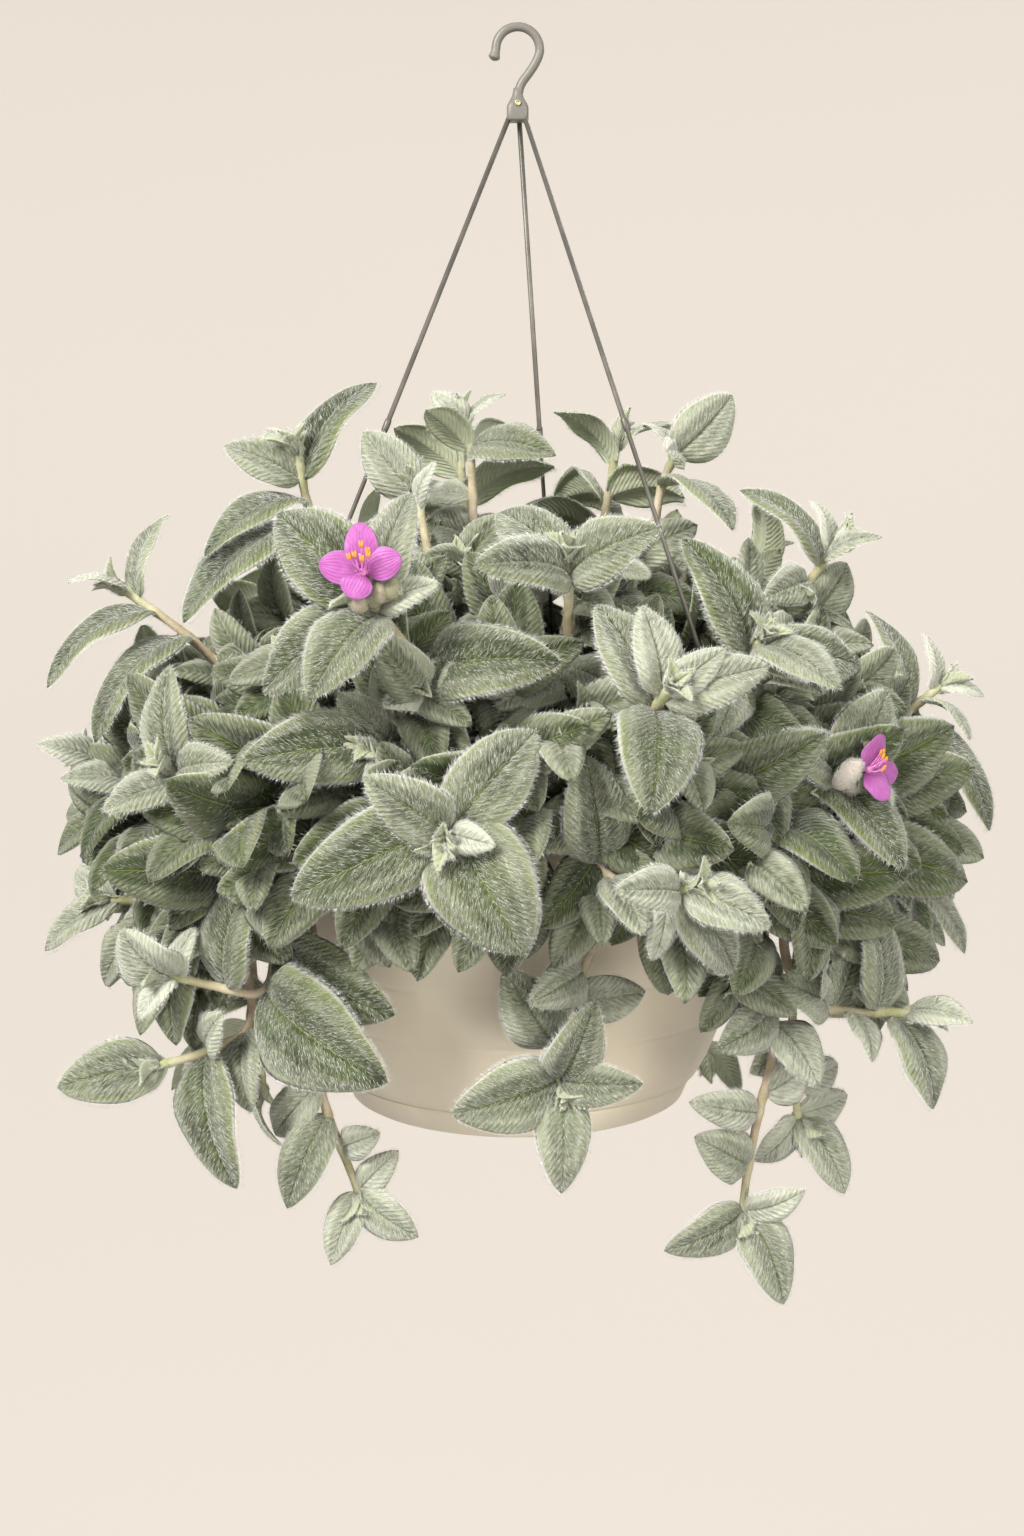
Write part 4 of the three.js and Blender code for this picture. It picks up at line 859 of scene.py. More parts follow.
class Blade:
    """A leaf or petal: a bowed midrib from root to end, and a half blade on each side of it."""

    def __init__(self, root, end, facing, wide, form, number):
        chord = end - root
        self.root = root
        self.end = end
        self.wide = wide
        self.form = form
        self.number = number
        self.length = float(np.linalg.norm(chord))
        self.across = unit(np.cross(chord, facing))
        upper = unit(np.cross(self.across, chord))
        self.middle = root + BLADE_MIDDLE * chord + form["arch"] * self.length * upper
        self.most = form["base"] / (form["base"] + form["tip"])

    def outline(self, along):
        """The share of the full width at a share of the length."""
        base, tip = self.form["base"], self.form["tip"]
        full = self.most ** base * (1 - self.most) ** tip
        shape = (along + NARROW_END) ** base * np.clip(1 - along, 0, 1) ** tip
        return np.maximum(shape / full, NARROW_END)

    def at(self, along, side):
        """Places on the blade, with the ways out to the margin, on to the end and up from the face."""
        t = np.asarray(along, float)[..., None]
        s = np.asarray(side, float)[..., None]
        form = self.form
        rib = (1 - t) ** 2 * self.root + 2 * t * (1 - t) * self.middle + t * t * self.end
        onward = unit((1 - t) * (self.middle - self.root) + t * (self.end - self.middle))
        raised = np.cross(self.across, onward)
        half = 0.5 * self.wide * self.outline(t)
        a = np.abs(s)
        sign = np.where(s < 0, -1.0, 1.0)
        ripple = RIPPLE * a ** 2 * np.sin(2 * np.pi * (RIPPLES * t + 0.37 * self.number) + 1.9 * sign)
        ridge = form["ridge"] * np.sin(2 * np.pi * RIDGES * a) * np.sin(np.pi * t) ** 0.5
        lift = half * (form["rise"] * a - form["fall"] * a * a + ripple + ridge)
        places = rib + self.across * (half * form["lie"] * s) + raised * lift
        slope = form["rise"] - 2 * form["fall"] * a
        outward = unit(self.across * sign * form["lie"] + raised * slope)
        upward = unit(raised * form["lie"] - self.across * sign * slope)
        return places, outward, onward, upward

    def body(self, side):
        """Half the thickness at a share of the way out to the margin."""
        return 0.5 * self.form["thick"] * (1 - THINNED * side[..., None] ** 2)

    def spots(self, first=0.0):
        """Places all over the blade, from a share of its length on."""
        along, side = np.meshgrid(np.linspace(first, 1, 24), np.linspace(-0.9, 0.9, 13), indexing="ij")
        return self.at(along, side)[0]

    def skin(self, grid, tone, fresh):
        """The closed skin, and its notes: where hairs lie on it, its marks and which face it is."""
        rows, columns = grid
        even = np.linspace(0, 1, rows + 1)
        shares = even - 0.07 * np.sin(2 * np.pi * even)
        along, side = np.meshgrid(shares, np.linspace(-1, 1, columns + 1), indexing="ij")
        places, _, _, upward = self.at(along, side)
        inner = (slice(1, rows), slice(1, columns))
        top = places + self.body(side) * upward
        under = (places - self.body(side) * upward)[inner]
        top_index = np.arange(top.shape[0] * top.shape[1]).reshape(top.shape[:2])
        under_index = top_index.copy()
        under_index[inner] = top_index.size + np.arange(under.size // 3).reshape(under.shape[:2])

        points = np.concatenate([top.reshape(-1, 3), under.reshape(-1, 3)])
        faces = [np.concatenate([grid_faces(top_index)[:, ::-1], grid_faces(under_index)])]
        reach = np.abs(side) * 0.5 * self.wide * self.outline(along)
        run = along * self.length
        slant = math.radians(STREAK_SLANT)
        strip = (reach * math.cos(slant) - run * math.sin(slant)) / STREAK_ACROSS
        stretch = (reach * math.sin(slant) + run * math.cos(slant)) / STREAK_ALONG
        streak = np.stack([strip, stretch, np.full(side.shape, 9.7 * self.number)], -1)
        mark = np.stack([np.abs(side), along, np.full(side.shape, tone)], -1)
        upper = np.concatenate([np.ones(top_index.size), np.zeros(under.size // 3)])
        notes = {
            "streak": np.concatenate([streak.reshape(-1, 3), streak[inner].reshape(-1, 3)]),
            "mark": np.concatenate([mark.reshape(-1, 3), mark[inner].reshape(-1, 3)]),
            "face": np.stack([upper, np.full(upper.shape, fresh), upper], -1),
        }
        return (points, faces), notes


def blade_hairs(blade, chance, dense):
    """Roots, ways and lengths of the hairs of one blade."""
    area = 0.68 * blade.length * blade.wide * dense * HAIR_SHARE
    size = (blade.length / FULL_HAIRED) ** 0.4
    slant = math.radians(STREAK_SLANT)
    hairs = []
    for per_area, flip in ((UPPER_HAIRS, 1), (LOWER_HAIRS, -1)):
        count = int(per_area * area) + 4
        tried = chance.random((4 * count, 2))
        along = tried[tried[:, 1] < blade.outline(tried[:, 0]), 0][:count]
        side = chance.uniform(-0.97, 0.97, len(along))
        places, outward, onward, upward = blade.at(along, side)
        turn = slant + chance.normal(0, HAIR_UNEVEN, (len(along), 1))
        lean = np.radians(chance.uniform(*HAIR_LEAN, (len(along), 1)))
        flat = np.sin(turn) * outward + np.cos(turn) * onward
        ways = np.cos(lean) * flat + flip * np.sin(lean) * upward
        lengths = size * chance.uniform(*HAIR_LENGTHS, len(along))
        hairs.append((places + flip * (blade.body(side) - HAIR_SUNK) * upward, ways, lengths))
    count = int(2 * FRINGE_HAIRS * blade.length * dense * HAIR_SHARE) + 6
    along = chance.uniform(0.01, 1.0, count)
    side = np.where(chance.random(count) < 0.5, -1.0, 1.0)
    places, outward, onward, upward = blade.at(along, side)
    ways = 0.85 * outward + (0.35 + 0.5 * along[:, None]) * onward
    ways = ways + chance.uniform(*FRINGE_RISE, (count, 1)) * upward + chance.normal(0, 0.16, (count, 3))
    hairs.append((places - 0.1 * outward, ways, size * chance.uniform(*FRINGE_LENGTHS, count)))
    return hairs


def body_hairs(line, radii, chance, dense, forward=0.5, low=1.2, high=2.4):
    """Hairs all round a stem or bud."""
    line = np.asarray(line, float)
    radii = np.asarray(radii, float)
    steps = np.linalg.norm(np.diff(line, axis=0), axis=1)
    count = int(dense * STEM_HAIRS * HAIR_SHARE * 2 * np.pi * np.sum(steps * radii[1:]))
    spot = chance.choice(len(steps), count, p=steps / steps.sum())
    share = chance.random((count, 1))
    onward = unit(np.diff(line, axis=0))[spot]
    places = line[spot] * (1 - share) + line[spot + 1] * share
    radius = radii[spot][:, None] * (1 - share) + radii[spot + 1][:, None] * share
    out = chance.standard_normal((count, 3))
    out = unit(out - onward * np.sum(out * onward, axis=1, keepdims=True))
    ways = out + forward * onward + chance.normal(0, 0.25, (count, 3))
    return [(places + out * (radius - 0.15), ways, chance.uniform(low, high, count))]


def hair_skin(hairs, width=HAIR_WIDTH):
    """Closed slim spikes, three-sided, one for each hair."""
    roots, ways, lengths = (np.concatenate(some) for some in zip(*hairs))
    ways = unit(ways)
    other = np.where(np.abs(ways[:, 2:]) > 0.8, [[1.0, 0, 0]], [[0, 0, 1.0]])
    first = unit(np.cross(ways, other))
    second = np.cross(ways, first)
    corners = [roots + 0.5 * width * (math.cos(angle) * first + math.sin(angle) * second)
               for angle in round_angles(3)]
    points = np.stack([*corners, roots + lengths[:, None] * ways], 1).reshape(-1, 3)
    start = 4 * np.arange(len(roots))[:, None]
    faces = [start + np.array(face) for face in ((0, 1, 3), (1, 2, 3), (2, 0, 3), (0, 2, 1))]
    return points, [np.concatenate(faces)]


def joined_with_notes(parts):
    """One set of points and faces, and one of notes, from several pairs of them."""
    notes = {note: np.concatenate([held[note] for _, held in parts]) for note in parts[0][1]}
    return joined([skin for skin, _ in parts]), notes


def leaf_finish(name, deep, green, fresh, edge, wool, white, rim_white):
    """A green blade seen through white hairs: streaked, whiter to the margin and on young leaves. Its
    yellow-green margin and its pale under face are partly its own colour and partly painted light, for
    light that shines through the leaf.
    """
    look = new_finish(name, 0.72)
    streak = look.note("streak")
    out, _, tone = look.parts(look.note("mark"))
    is_upper, is_fresh, _ = look.parts(look.note("face"))
    hairs = look.noise(1.0, 4, streak)
    crest = look.maths("SINE", look.maths("MULTIPLY", out, 2 * math.pi * RIDGES))
    hairy = look.maths("MULTIPLY_ADD", hairs, 1.7, look.maths("MULTIPLY", tone, 0.9))
    for change in (
        look.spread(out, 0.86, 0.98, 0.0, 0.45),
        look.spread(out, 0.015, 0.10, -0.26, 0.0),
        look.maths("MULTIPLY", crest, 0.09),
        look.spread(out, 0.1, 0.9, -0.18, 0.14),
        look.cloud(45, 3, 0.3, 0.7, -0.14, 0.14),
    ):
        hairy = look.maths("ADD", hairy, change)
    flesh = look.blend(is_fresh, look.blend(look.cloud(60, 2), deep, green), fresh)
    # Painted light: the yellow-green margin is partly the leaf's own paler margin and partly painted light
    # shining through the thin margin.
    flesh = look.blend(look.spread(out, 0.72, 0.94, 0.0, 0.7), flesh, edge)
    coat = look.blend(look.spread(tone, 0.25, 0.85), wool, white)
    upper = look.blend(look.spread(hairy, 0.66, 1.70), flesh, coat)
    upper = look.blend(look.spread(out, 0.90, 0.99, 0.0, 0.9), upper, rim_white)
    upper = look.blend(look.spread(out, 0.0, 0.035, 0.7, 0.0), upper, edge)
    # Painted light: the under face is paler than the upper coat, partly the leaf's own paler back and
    # partly painted light for light shining through the leaf onto its shaded back.
    pale = [0.3 * a + 1.4 * b for a, b in zip(green, wool)]
    under = look.blend(look.spread(hairs, 0.4, 0.62), [0.8 * value for value in pale], pale)
    look.set({
        "Base Color": look.blend(is_upper, under, upper), "Subsurface Weight": 0.3,
        "Subsurface Radius": (0.6, 1.0, 0.3), "Subsurface Scale": 0.0012, "Sheen Weight": 0.28,
        "Sheen Roughness": 0.5, "Specular IOR Level": 0.25,
    })
    waves = look.maths("SINE", look.maths("MULTIPLY", look.parts(streak)["X"], 1.2))
    look.relief(look.maths("MULTIPLY_ADD", waves, 0.30, hairs), 0.8, 0.8)
    return look.owner


def wool_finish(name, colour):
    """White hair. One colour all over, with a little change in how it shines."""
    look = new_finish(name, 0.6)
    shine = look.cloud(90, 2, 0.3, 0.7, 0.5, 0.75)
    look.set({"Base Color": colour, "Roughness": shine, "Specular IOR Level": 0.3})
    return look.owner


def stem_finish():
    """Felted stem: tan with a pink flush, greener towards its young end and at each leaf."""
    look = new_finish("stem_skin", 0.8)
    cloud = look.cloud(130, 3)
    old = look.blend(cloud, (0.36, 0.275, 0.175), (0.52, 0.425, 0.31))
    fresh = look.blend(cloud, (0.33, 0.34, 0.16), (0.48, 0.47, 0.30))
    look.set({"Base Color": look.blend(look.parts(look.note("mark"))["X"], old, fresh)})
    look.relief(look.noise(800, 3), 0.3)
    return look.owner


def side_way(along, angle):
    """The way square to a stem at an angle round it, in degrees."""
    guide = np.array([1.0, 0, 0]) if abs(along[2]) > 0.95 else UP
    first = unit(np.cross(along, guide))
    turn = math.radians(angle)
    return math.cos(turn) * first + math.sin(turn) * np.cross(first, along)


def back_from_end(line, back):
    """The place on a stem at a distance back from its end, and the way on to the end there."""
    left = back
    for i in range(len(line) - 1, 0, -1):
        piece = line[i] - line[i - 1]
        length = float(np.linalg.norm(piece))
        if left <= length or i == 1:
            along = piece / length
            return line[i] - along * left, along
        left -= length
    return None


def leaf_facing(place, along):
    """The way a leaf's upper face looks: up the stem, to the sky, and out to the light."""
    light = unit(place * (1, 1, 0))
    if place[1] < FRONT_HALF:
        light = light + FRONT_LIGHT
    return FACING[0] * along + FACING[1] * UP + FACING[2] * light


class Growth:
    """Leaves, stems and hairs gathered from one stem or more, until they are made into pieces."""

    def __init__(self, seed):
        self.chance = np.random.default_rng(seed)
        self.leaves = []
        self.stems = []
        self.hairs = []

    def add_leaf(self, blade, grid, tone, dense=1.0, fresh=0.0):
        """One leaf with its hairs."""
        self.leaves.append(blade.skin(grid, tone, fresh))
        self.hairs += blade_hairs(blade, self.chance, dense)

    def add_stem(self, line, radii, fresh, sides=9, dense=1.0):
        """One stem with its hairs. Fresh is how green it is along its way."""
        points, faces = sweep(line, radii, sides)
        shares = np.concatenate([np.repeat(fresh, sides), [fresh[0], fresh[-1]]])
        mark = np.stack([shares, shares, shares], -1)
        self.stems.append(((points, faces), {"mark": mark}))
        self.hairs += body_hairs(line, radii, self.chance, dense)

    def make(self, name, leaf_look, stem_look, wool_look, *nodes):
        """Turns what was gathered into three pieces, which stand for the CAD nodes together."""
        for part, some, look in (("leaves", self.leaves, leaf_look), ("stalk", self.stems, stem_look)):
            skin, notes = joined_with_notes(some)
            piece = piece_of(f"{name}_{part}", skin, look, notes=notes)
            place_in(piece, "woolly_leaf", *nodes)
        wool = piece_of(f"{name}_wool", hair_skin(self.hairs), wool_look)
        place_in(wool, "woolly_leaf", *nodes)


leaf_look = leaf_finish("woolly_leaf", (0.012, 0.021, 0.003), (0.040, 0.062, 0.009), (0.46, 0.50, 0.25),
                        (0.21, 0.26, 0.05), (0.345, 0.36, 0.255), (0.51, 0.525, 0.425), (0.72, 0.73, 0.62))
stem_look = stem_finish()
wool_look = wool_finish("white_wool", (0.80, 0.81, 0.76))


def stem_line(foot, path):
    """Points close together along a stem, from the soil to its end."""
    start = np.array([*foot, SOIL_Z + 4.0])
    return curve_through([start, *np.array(path, float)], SPAN_STEPS, before=start - 30 * UP)


def rear_stems():
    """The stems of the rear half, as rows like those of the front."""
    rows = []
    for row, (tier, end_z, reach, foot_reach, over, angles) in enumerate(REAR_TIERS):
        for column, angle in enumerate(angles):
            ending = angle + 8 * (draw(row + 40, column, 1) - 0.5)
            out = reach * (0.95 + 0.1 * draw(row + 40, column, 2))
            last_z = end_z + 14 * (draw(row + 40, column, 3) - 0.5)
            between = (angle + ending) / 2
            if end_z < RIM_Z - 20:
                bend, bend_z = RIM_BEND
                path = [polar(angle, RIM_RADIUS - 1, over), polar(angle, bend, bend_z)]
                path.append(polar(between, (bend + out) / 2 + 2, (bend_z + last_z) / 2 - 3))
            else:
                path = [polar(angle, reach * 0.62, over)]
                path.append(polar(between, out * 0.86, (over + last_z) / 2 + 2))
            path.append(polar(ending, out, last_z))
            foot = polar(angle, foot_reach, 0)[:2]
            rows.append((f"rear_{tier}_{column + 1}", foot, REAR_RADIUS, path, REAR_LEAVES))
    return rows


def ruled_leaves(number, count, line):
    """The leaves of a rear stem: crossed pairs, larger away from the end, hanging a little."""
    rows = []
    start = 90 * draw(number, 0, 5)
    for leaf in range(count):
        pair = leaf // 2
        back = 4 + 19 * pair + 5 * (leaf % 2) + 3 * draw(number, leaf, 6)
        _, along = back_from_end(line, back)
        angle = start + 90 * pair + 180 * (leaf % 2) + 30 * (draw(number, leaf, 7) - 0.5)
        open_by = math.radians((52, 72, 84)[pair] + 12 * (draw(number, leaf, 8) - 0.5))
        side = side_way(along, angle)
        reach = unit(math.cos(open_by) * along + math.sin(open_by) * side - 0.22 * UP)
        length = (40, 50, 54)[pair] * (0.9 + 0.2 * draw(number, leaf, 9))
        rows.append([back, *(reach * length), length * (0.46 + 0.08 * draw(number, leaf, 10))])
    return rows


def turned(reach, turn):
    """A leaf's reach after a turn."""
    swing, lift, size = turn
    level = math.hypot(reach[0], reach[1])
    heading = math.atan2(reach[1], reach[0]) + math.radians(swing)
    rise = min(max(math.atan2(reach[2], level) + math.radians(lift), -1.5), 1.5)
    way = np.array([math.cos(heading) * math.cos(rise), math.sin(heading) * math.cos(rise), math.sin(rise)])
    return way * np.linalg.norm(reach) * size


def solid_points(node):
    """The corner points of a CAD node, in millimetres."""
    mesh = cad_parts[node].data
    numbers = np.empty(3 * len(mesh.vertices))
    mesh.vertices.foreach_get("co", numbers)
    return numbers.reshape(-1, 3) / MM


def table_leaf(row, line, solid, number):
    """The blade of a leaf row, turned as its solid is: its end is a corner of the solid.

    A leaf that found no room in the solid takes the turn that ends nearest to a corner."""
    back, right, rear, up, wide = row
    place, along = back_from_end(line, back)
    reach = np.array([right, rear, up], float)
    reaches = [turned(reach, turn) for turn in TURNS]
    gaps = [np.linalg.norm(solid - (place + way), axis=1).min() for way in reaches]
    best = int(np.argmin(gaps))
    way = reaches[best]
    width = BROADER * max(wide, NARROWEST * np.linalg.norm(reach)) * TURNS[best][2]
    root = place + ROOT_OFFSET * unit(way)
    return Blade(root, place + way, leaf_facing(place, along), width, LEAF, number)


def young_blade(number, leaf, place, along, open_by, length, wide):
    """One of the small upright leaves round a stem's end, open by some degrees."""
    side = side_way(along, 360 * draw(number, 0, 11) + 180 * leaf)
    opened = math.radians(open_by)
    root = place + ROOT_OFFSET * side
    end = root + length * (math.cos(opened) * along + math.sin(opened) * side)
    return Blade(root, end, along - side, wide, YOUNG, number + 0.3 * leaf)


def young_leaves(growth, number, line, dense=1.0):
    """The tip of a stem: the two young leaves of the solid, and before them the still smaller ones."""
    for leaf in range(YOUNG_LEAVES):
        open_by = YOUNG_OPEN + 10 * (draw(number, leaf, 12) - 0.5)
        length = YOUNG_LENGTH * (0.85 + 0.3 * draw(number, leaf, 13))
        place, along = back_from_end(line, 1.5 + 3 * leaf)
        blade = young_blade(number, leaf, place, along, open_by, length, YOUNG_WIDTH)
        growth.add_leaf(blade, YOUNG_GRID, YOUNG_TONE, dense, 0.55)
    place, along = back_from_end(line, 0.8)
    light = unit(leaf_facing(place, along))
    onward = unit(along + BUD_LIGHT * light)
    for length, wide, open_by, turn in BUD_LEAVES:
        blade = young_blade(number, turn, place + 2 * light, onward, open_by, length, wide)
        growth.add_leaf(blade, YOUNG_GRID, YOUNG_TONE, dense, 0.9)


def stem_radii(line, thick, backs):
    """A stem's radius along its way, swollen where leaves clasp it, and how green it is."""
    run = run_along(line)
    from_end = run[-1] - run
    radii = thick * (1 - STEM_TAPER * run / run[-1]) * 0.94
    joints = np.zeros(len(line))
    for back in backs:
        joints = np.maximum(joints, np.exp(-(((from_end - back) / JOINT_LENGTH) ** 2)))
    fresh = np.clip(1 - from_end / GREEN_LENGTH, 0, 1) * 0.8 + 0.35 * joints
    return radii * (1 + JOINT_SWELL * joints), np.clip(fresh, 0, 1)


def finer(line):
    """The same line with one more point half way along each step."""
    spots = np.arange(0, len(line) - 1 + 1e-9, 0.5)
    low = np.minimum(spots.astype(int), len(line) - 2)
    share = (spots - low)[:, None]
    return line[low] * (1 - share) + line[low + 1] * share


def tone_of(number, leaf, length):
    """How white a leaf is: the small young ones are the whitest."""
    tone = 1.3 - 0.022 * length + 0.2 * (draw(number, leaf, 14) - 0.5)
    return min(max(tone, 0.08), 0.9)


room = Room()
for number, (name, foot, thick, path, leaves) in enumerate(FRONT_STEMS + rear_stems()):
    line = stem_line(foot, path)
    growth = Growth(STEM_SEED + number)
    solid = solid_points(f"stem_{name}")
    rows = ruled_leaves(number, leaves, line) if isinstance(leaves, int) else leaves
    for leaf, row in enumerate(rows):
        blade = table_leaf(row, line, solid, number + 0.1 * leaf)
        growth.add_leaf(blade, LARGE_GRID, tone_of(number, leaf, blade.length))
        room.take_light(blade.spots())
    fine = finer(np.concatenate([[[*foot, SOIL_Z - 6]], line]))
    radii, fresh = stem_radii(fine, thick, [row[0] for row in rows])
    growth.add_stem(fine, radii, fresh)
    room.take(fine)
    if "flowering" not in name:
        young_leaves(growth, number, line)
    growth.make(f"shoot_{name}", leaf_look, stem_look, wool_look, f"stem_{name}")

# ------------------------------------------------------------------ blooms
# Two open flowers with thin magenta petals on short woolly stalks. Each has three cup leaves
# behind it, a bundle of pink stamens with orange pollen that leans up, and woolly buds at its foot.
PETAL = {"base": 0.66, "tip": 0.60, "rise": 0.16, "fall": 0.26, "lie": 0.99, "arch": 0.14, "thick": 0.5,
         "ridge": 0}
CUP = {"base": 0.5, "tip": 0.7, "rise": 0.6, "fall": 0.2, "lie": 0.9, "arch": 0.2, "thick": 0.8, "ridge": 0}
BRACT = {"base": 0.45, "tip": 0.6, "rise": 1.5, "fall": 0.5, "lie": 0.7, "arch": 0.22, "thick": 1.0,
         "ridge": 0}
PETAL_GRID = (24, 18)
STALK_RADIUS = 1.25
NECK_BACK = -2.6
CUP_LEAVES = 3
CUP_BACK = -4
CUP_REACH = 7
CUP_WIDTH = 5
STAMENS = 6
STAMEN_REACH = 7.5
FILAMENT_RADIUS = 0.34
ANTHER_RADIUS = 0.5
ANTHER_LENGTH = 2.7
BUD_REACH = 7.7
BULB_FULLEST = 0.45  # the share of its length where a bud is thickest
BULB_FOOT = 0.5  # the powers that round its foot and its tip
BULB_TIP = 0.62
BUD_HAIRS = (0.9, 0.9, 2.2)  # how far they lean forward, and their shortest and longest
BLOOM_SEED = 900
CUP_SEED = 950
PETAL_TURN = 0.5  # how far the petals of both blooms turn to the front
# Each bloom: its name, the middle of its face, the way it looks, how far forward its petals end, how
# far its stamens lean up, how wide its petals are, and its petals by angle and reach. Then the buds
# round the stem's end by angle, length and radius, the buds on stalks by the ways from the middle of
# the face to their foot and tip and their radius, and the bracts by their reach right, rear and up
# and their width.
BLOOMS = [
    ("front", (-57, -172, -229), (-0.05, -1, 0.12), 2.2, 6, 12.8,
     ((86, 18), (159, 15), (9, 16.5), (297, 11)),
     ((200, 1.0, 3.0), (310, 0.96, 3.1), (420, 0.9, 2.9)),
     (((9.5, 5, -10.5), (11, 2, -2), 3.2), ((4.8, 5, -12), (6.2, 2, -4), 3.0),
      ((-1.5, 5, -15.5), (-2, 1, -8), 2.8)),
     ((-16, -6, -2, 9), (12, -10, 4, 8))),
    ("right", (138, -122, -309), (0.86, -0.5, 0.1), 7.5, 3, 13.2,
     ((90, 14), (192, 16), (262, 12.8)),
     ((200, 1.0, 3.6), (310, 1.15, 4.6), (420, 0.9, 3.4)),
     (((-13, -3, -7), (-2.5, -5, 4), 3.9),),
     ((18, -2, -15, 11), (10, -12, 13, 8))),
]


class Face:
    """The open face of a bloom."""

    def __init__(self, centre, looks):
        self.centre = np.array(centre, float)
        self.looks = unit(looks)
        self.right = -unit(np.cross(UP, self.looks))
        top = unit(np.cross(self.right, self.looks))
        self.top = top if top[2] > 0 else -top

    def at(self, angle, reach, forward):
        """A place at an angle in degrees and a reach from the middle, and so far in front of it."""
        turn = math.radians(angle)
        place = self.centre + forward * self.looks
        return place + reach * (math.cos(turn) * self.right + math.sin(turn) * self.top)


def petal_finish():
    """Thin magenta petal: a darker throat, faint veins fanning from it, paler towards the edge."""
    look = new_finish("magenta_petal", 0.5)
    out, along, _ = look.parts(look.note("mark"))
    ripple = look.noise(0.35, 3, look.note("streak"))
    fan = look.maths("SINE", look.maths("MULTIPLY_ADD", out, 30, look.maths("MULTIPLY", ripple, 4)))
    body = look.blend(look.spread(ripple, 0.35, 0.65), (0.34, 0.066, 0.295), (0.40, 0.10, 0.36))
    body = look.blend(look.spread(fan, 0.3, 1.0, 0.0, 0.18), body, (0.33, 0.04, 0.29))
    body = look.blend(look.spread(along, 0.02, 0.46, 0.9, 0.0), body, (0.25, 0.025, 0.19))
    body = look.blend(look.spread(out, 0.7, 1.0, 0.0, 0.4), body, (0.54, 0.17, 0.49))
    look.set({"Base Color": body, "Sheen Weight": 0.25})
    look.set({"Subsurface Weight": 0.15, "Subsurface Scale": 0.002})
    look.relief(fan, 0.05)
    return look.owner


def soft_finish(name, first, second, scale, roughness=0.7):
    """Soft plant stuff in two mixed colours."""
    look = new_finish(name, roughness)
    look.set({"Base Color": look.blend(look.cloud(scale, 3), first, second)})
    look.relief(look.noise(2.5 * scale, 3), 0.25)
    return look.owner


def bulb(start, end, radius, sides=16):
    """A rounded drop between two places, and the line and radii it was made from."""
    shares = 0.5 - 0.5 * np.cos(np.pi * np.linspace(0, 1, 13))
    line = start + shares[:, None] * (end - start)
    shape = np.clip(shares, 0, 1) ** BULB_FOOT * np.clip(1 - shares, 0, 1) ** BULB_TIP
    fullest = BULB_FULLEST ** BULB_FOOT * (1 - BULB_FULLEST) ** BULB_TIP
    radii = radius * shape / fullest + 0.05
    return sweep(line, radii, sides), line, radii


def petals_skin(face, petals, wide, cup, number):
    """The petals round a small knob, each a little behind the next."""
    parts = []
    facing = unit(face.looks + PETAL_TURN * FRONT_LIGHT)
    for petal, (angle, reach) in enumerate(petals):
        root, end = face.at(angle, 0.6, 0.12 * petal), face.at(angle, reach, cup)
        blade = Blade(root, end, facing, wide, PETAL, number + petal)
        parts.append(blade.skin(PETAL_GRID, 0, 0))
        room.take_light(blade.spots())
    return joined_with_notes(parts)


def stamen_skins(face, lean, chance):
    """The filaments with their pistil, and the two long lobes of pollen on each."""
    filaments = [sweep([face.at(0, 0, 0), face.at(0, 0, 2.4)], [1.7, 1.3], 12)]
    lobes = []
    for stamen in range(STAMENS):
        angle = 20 + 360 / STAMENS * stamen + 40 * (chance.random() - 0.5)
        reach = STAMEN_REACH * (0.85 + 0.3 * chance.random())
        spreads = 2.5 + 2.2 * chance.random()
        bend = face.at(angle, 0.55 * spreads, 0.6 * reach) + 0.3 * lean * face.top
        tip = face.at(angle, spreads, reach) + lean * (0.75 + 0.5 * chance.random()) * face.top
        knots = [face.at(angle, 0.7, 1.2), bend, tip]
        line = curve_through(knots, 6)
        filaments.append(sweep(line, np.linspace(1.15, 0.75, len(line)) * FILAMENT_RADIUS, 8, face.right))
        along = unit(line[-1] - line[-3] + face.top)
        side = unit(np.cross(along, face.looks))
        for shift in (-0.42, 0.42):
            middle = line[-1] + shift * side + 0.2 * face.looks
            half = 0.5 * ANTHER_LENGTH * unit(along + 0.25 * shift * side)
            lobes.append(bulb(middle - half, middle + half, ANTHER_RADIUS, 10)[0])
    line = curve_through([face.at(80, 0.2, 1), face.at(80, 0.8, 4.5) + 0.3 * lean * face.top,
                          face.at(75, 1.4, 8.2) + 0.7 * lean * face.top], 6)
    filaments.append(sweep(line, [0.3] * (len(line) - 1) + [0.55], 8, face.right))
    return joined(filaments), joined(lobes)


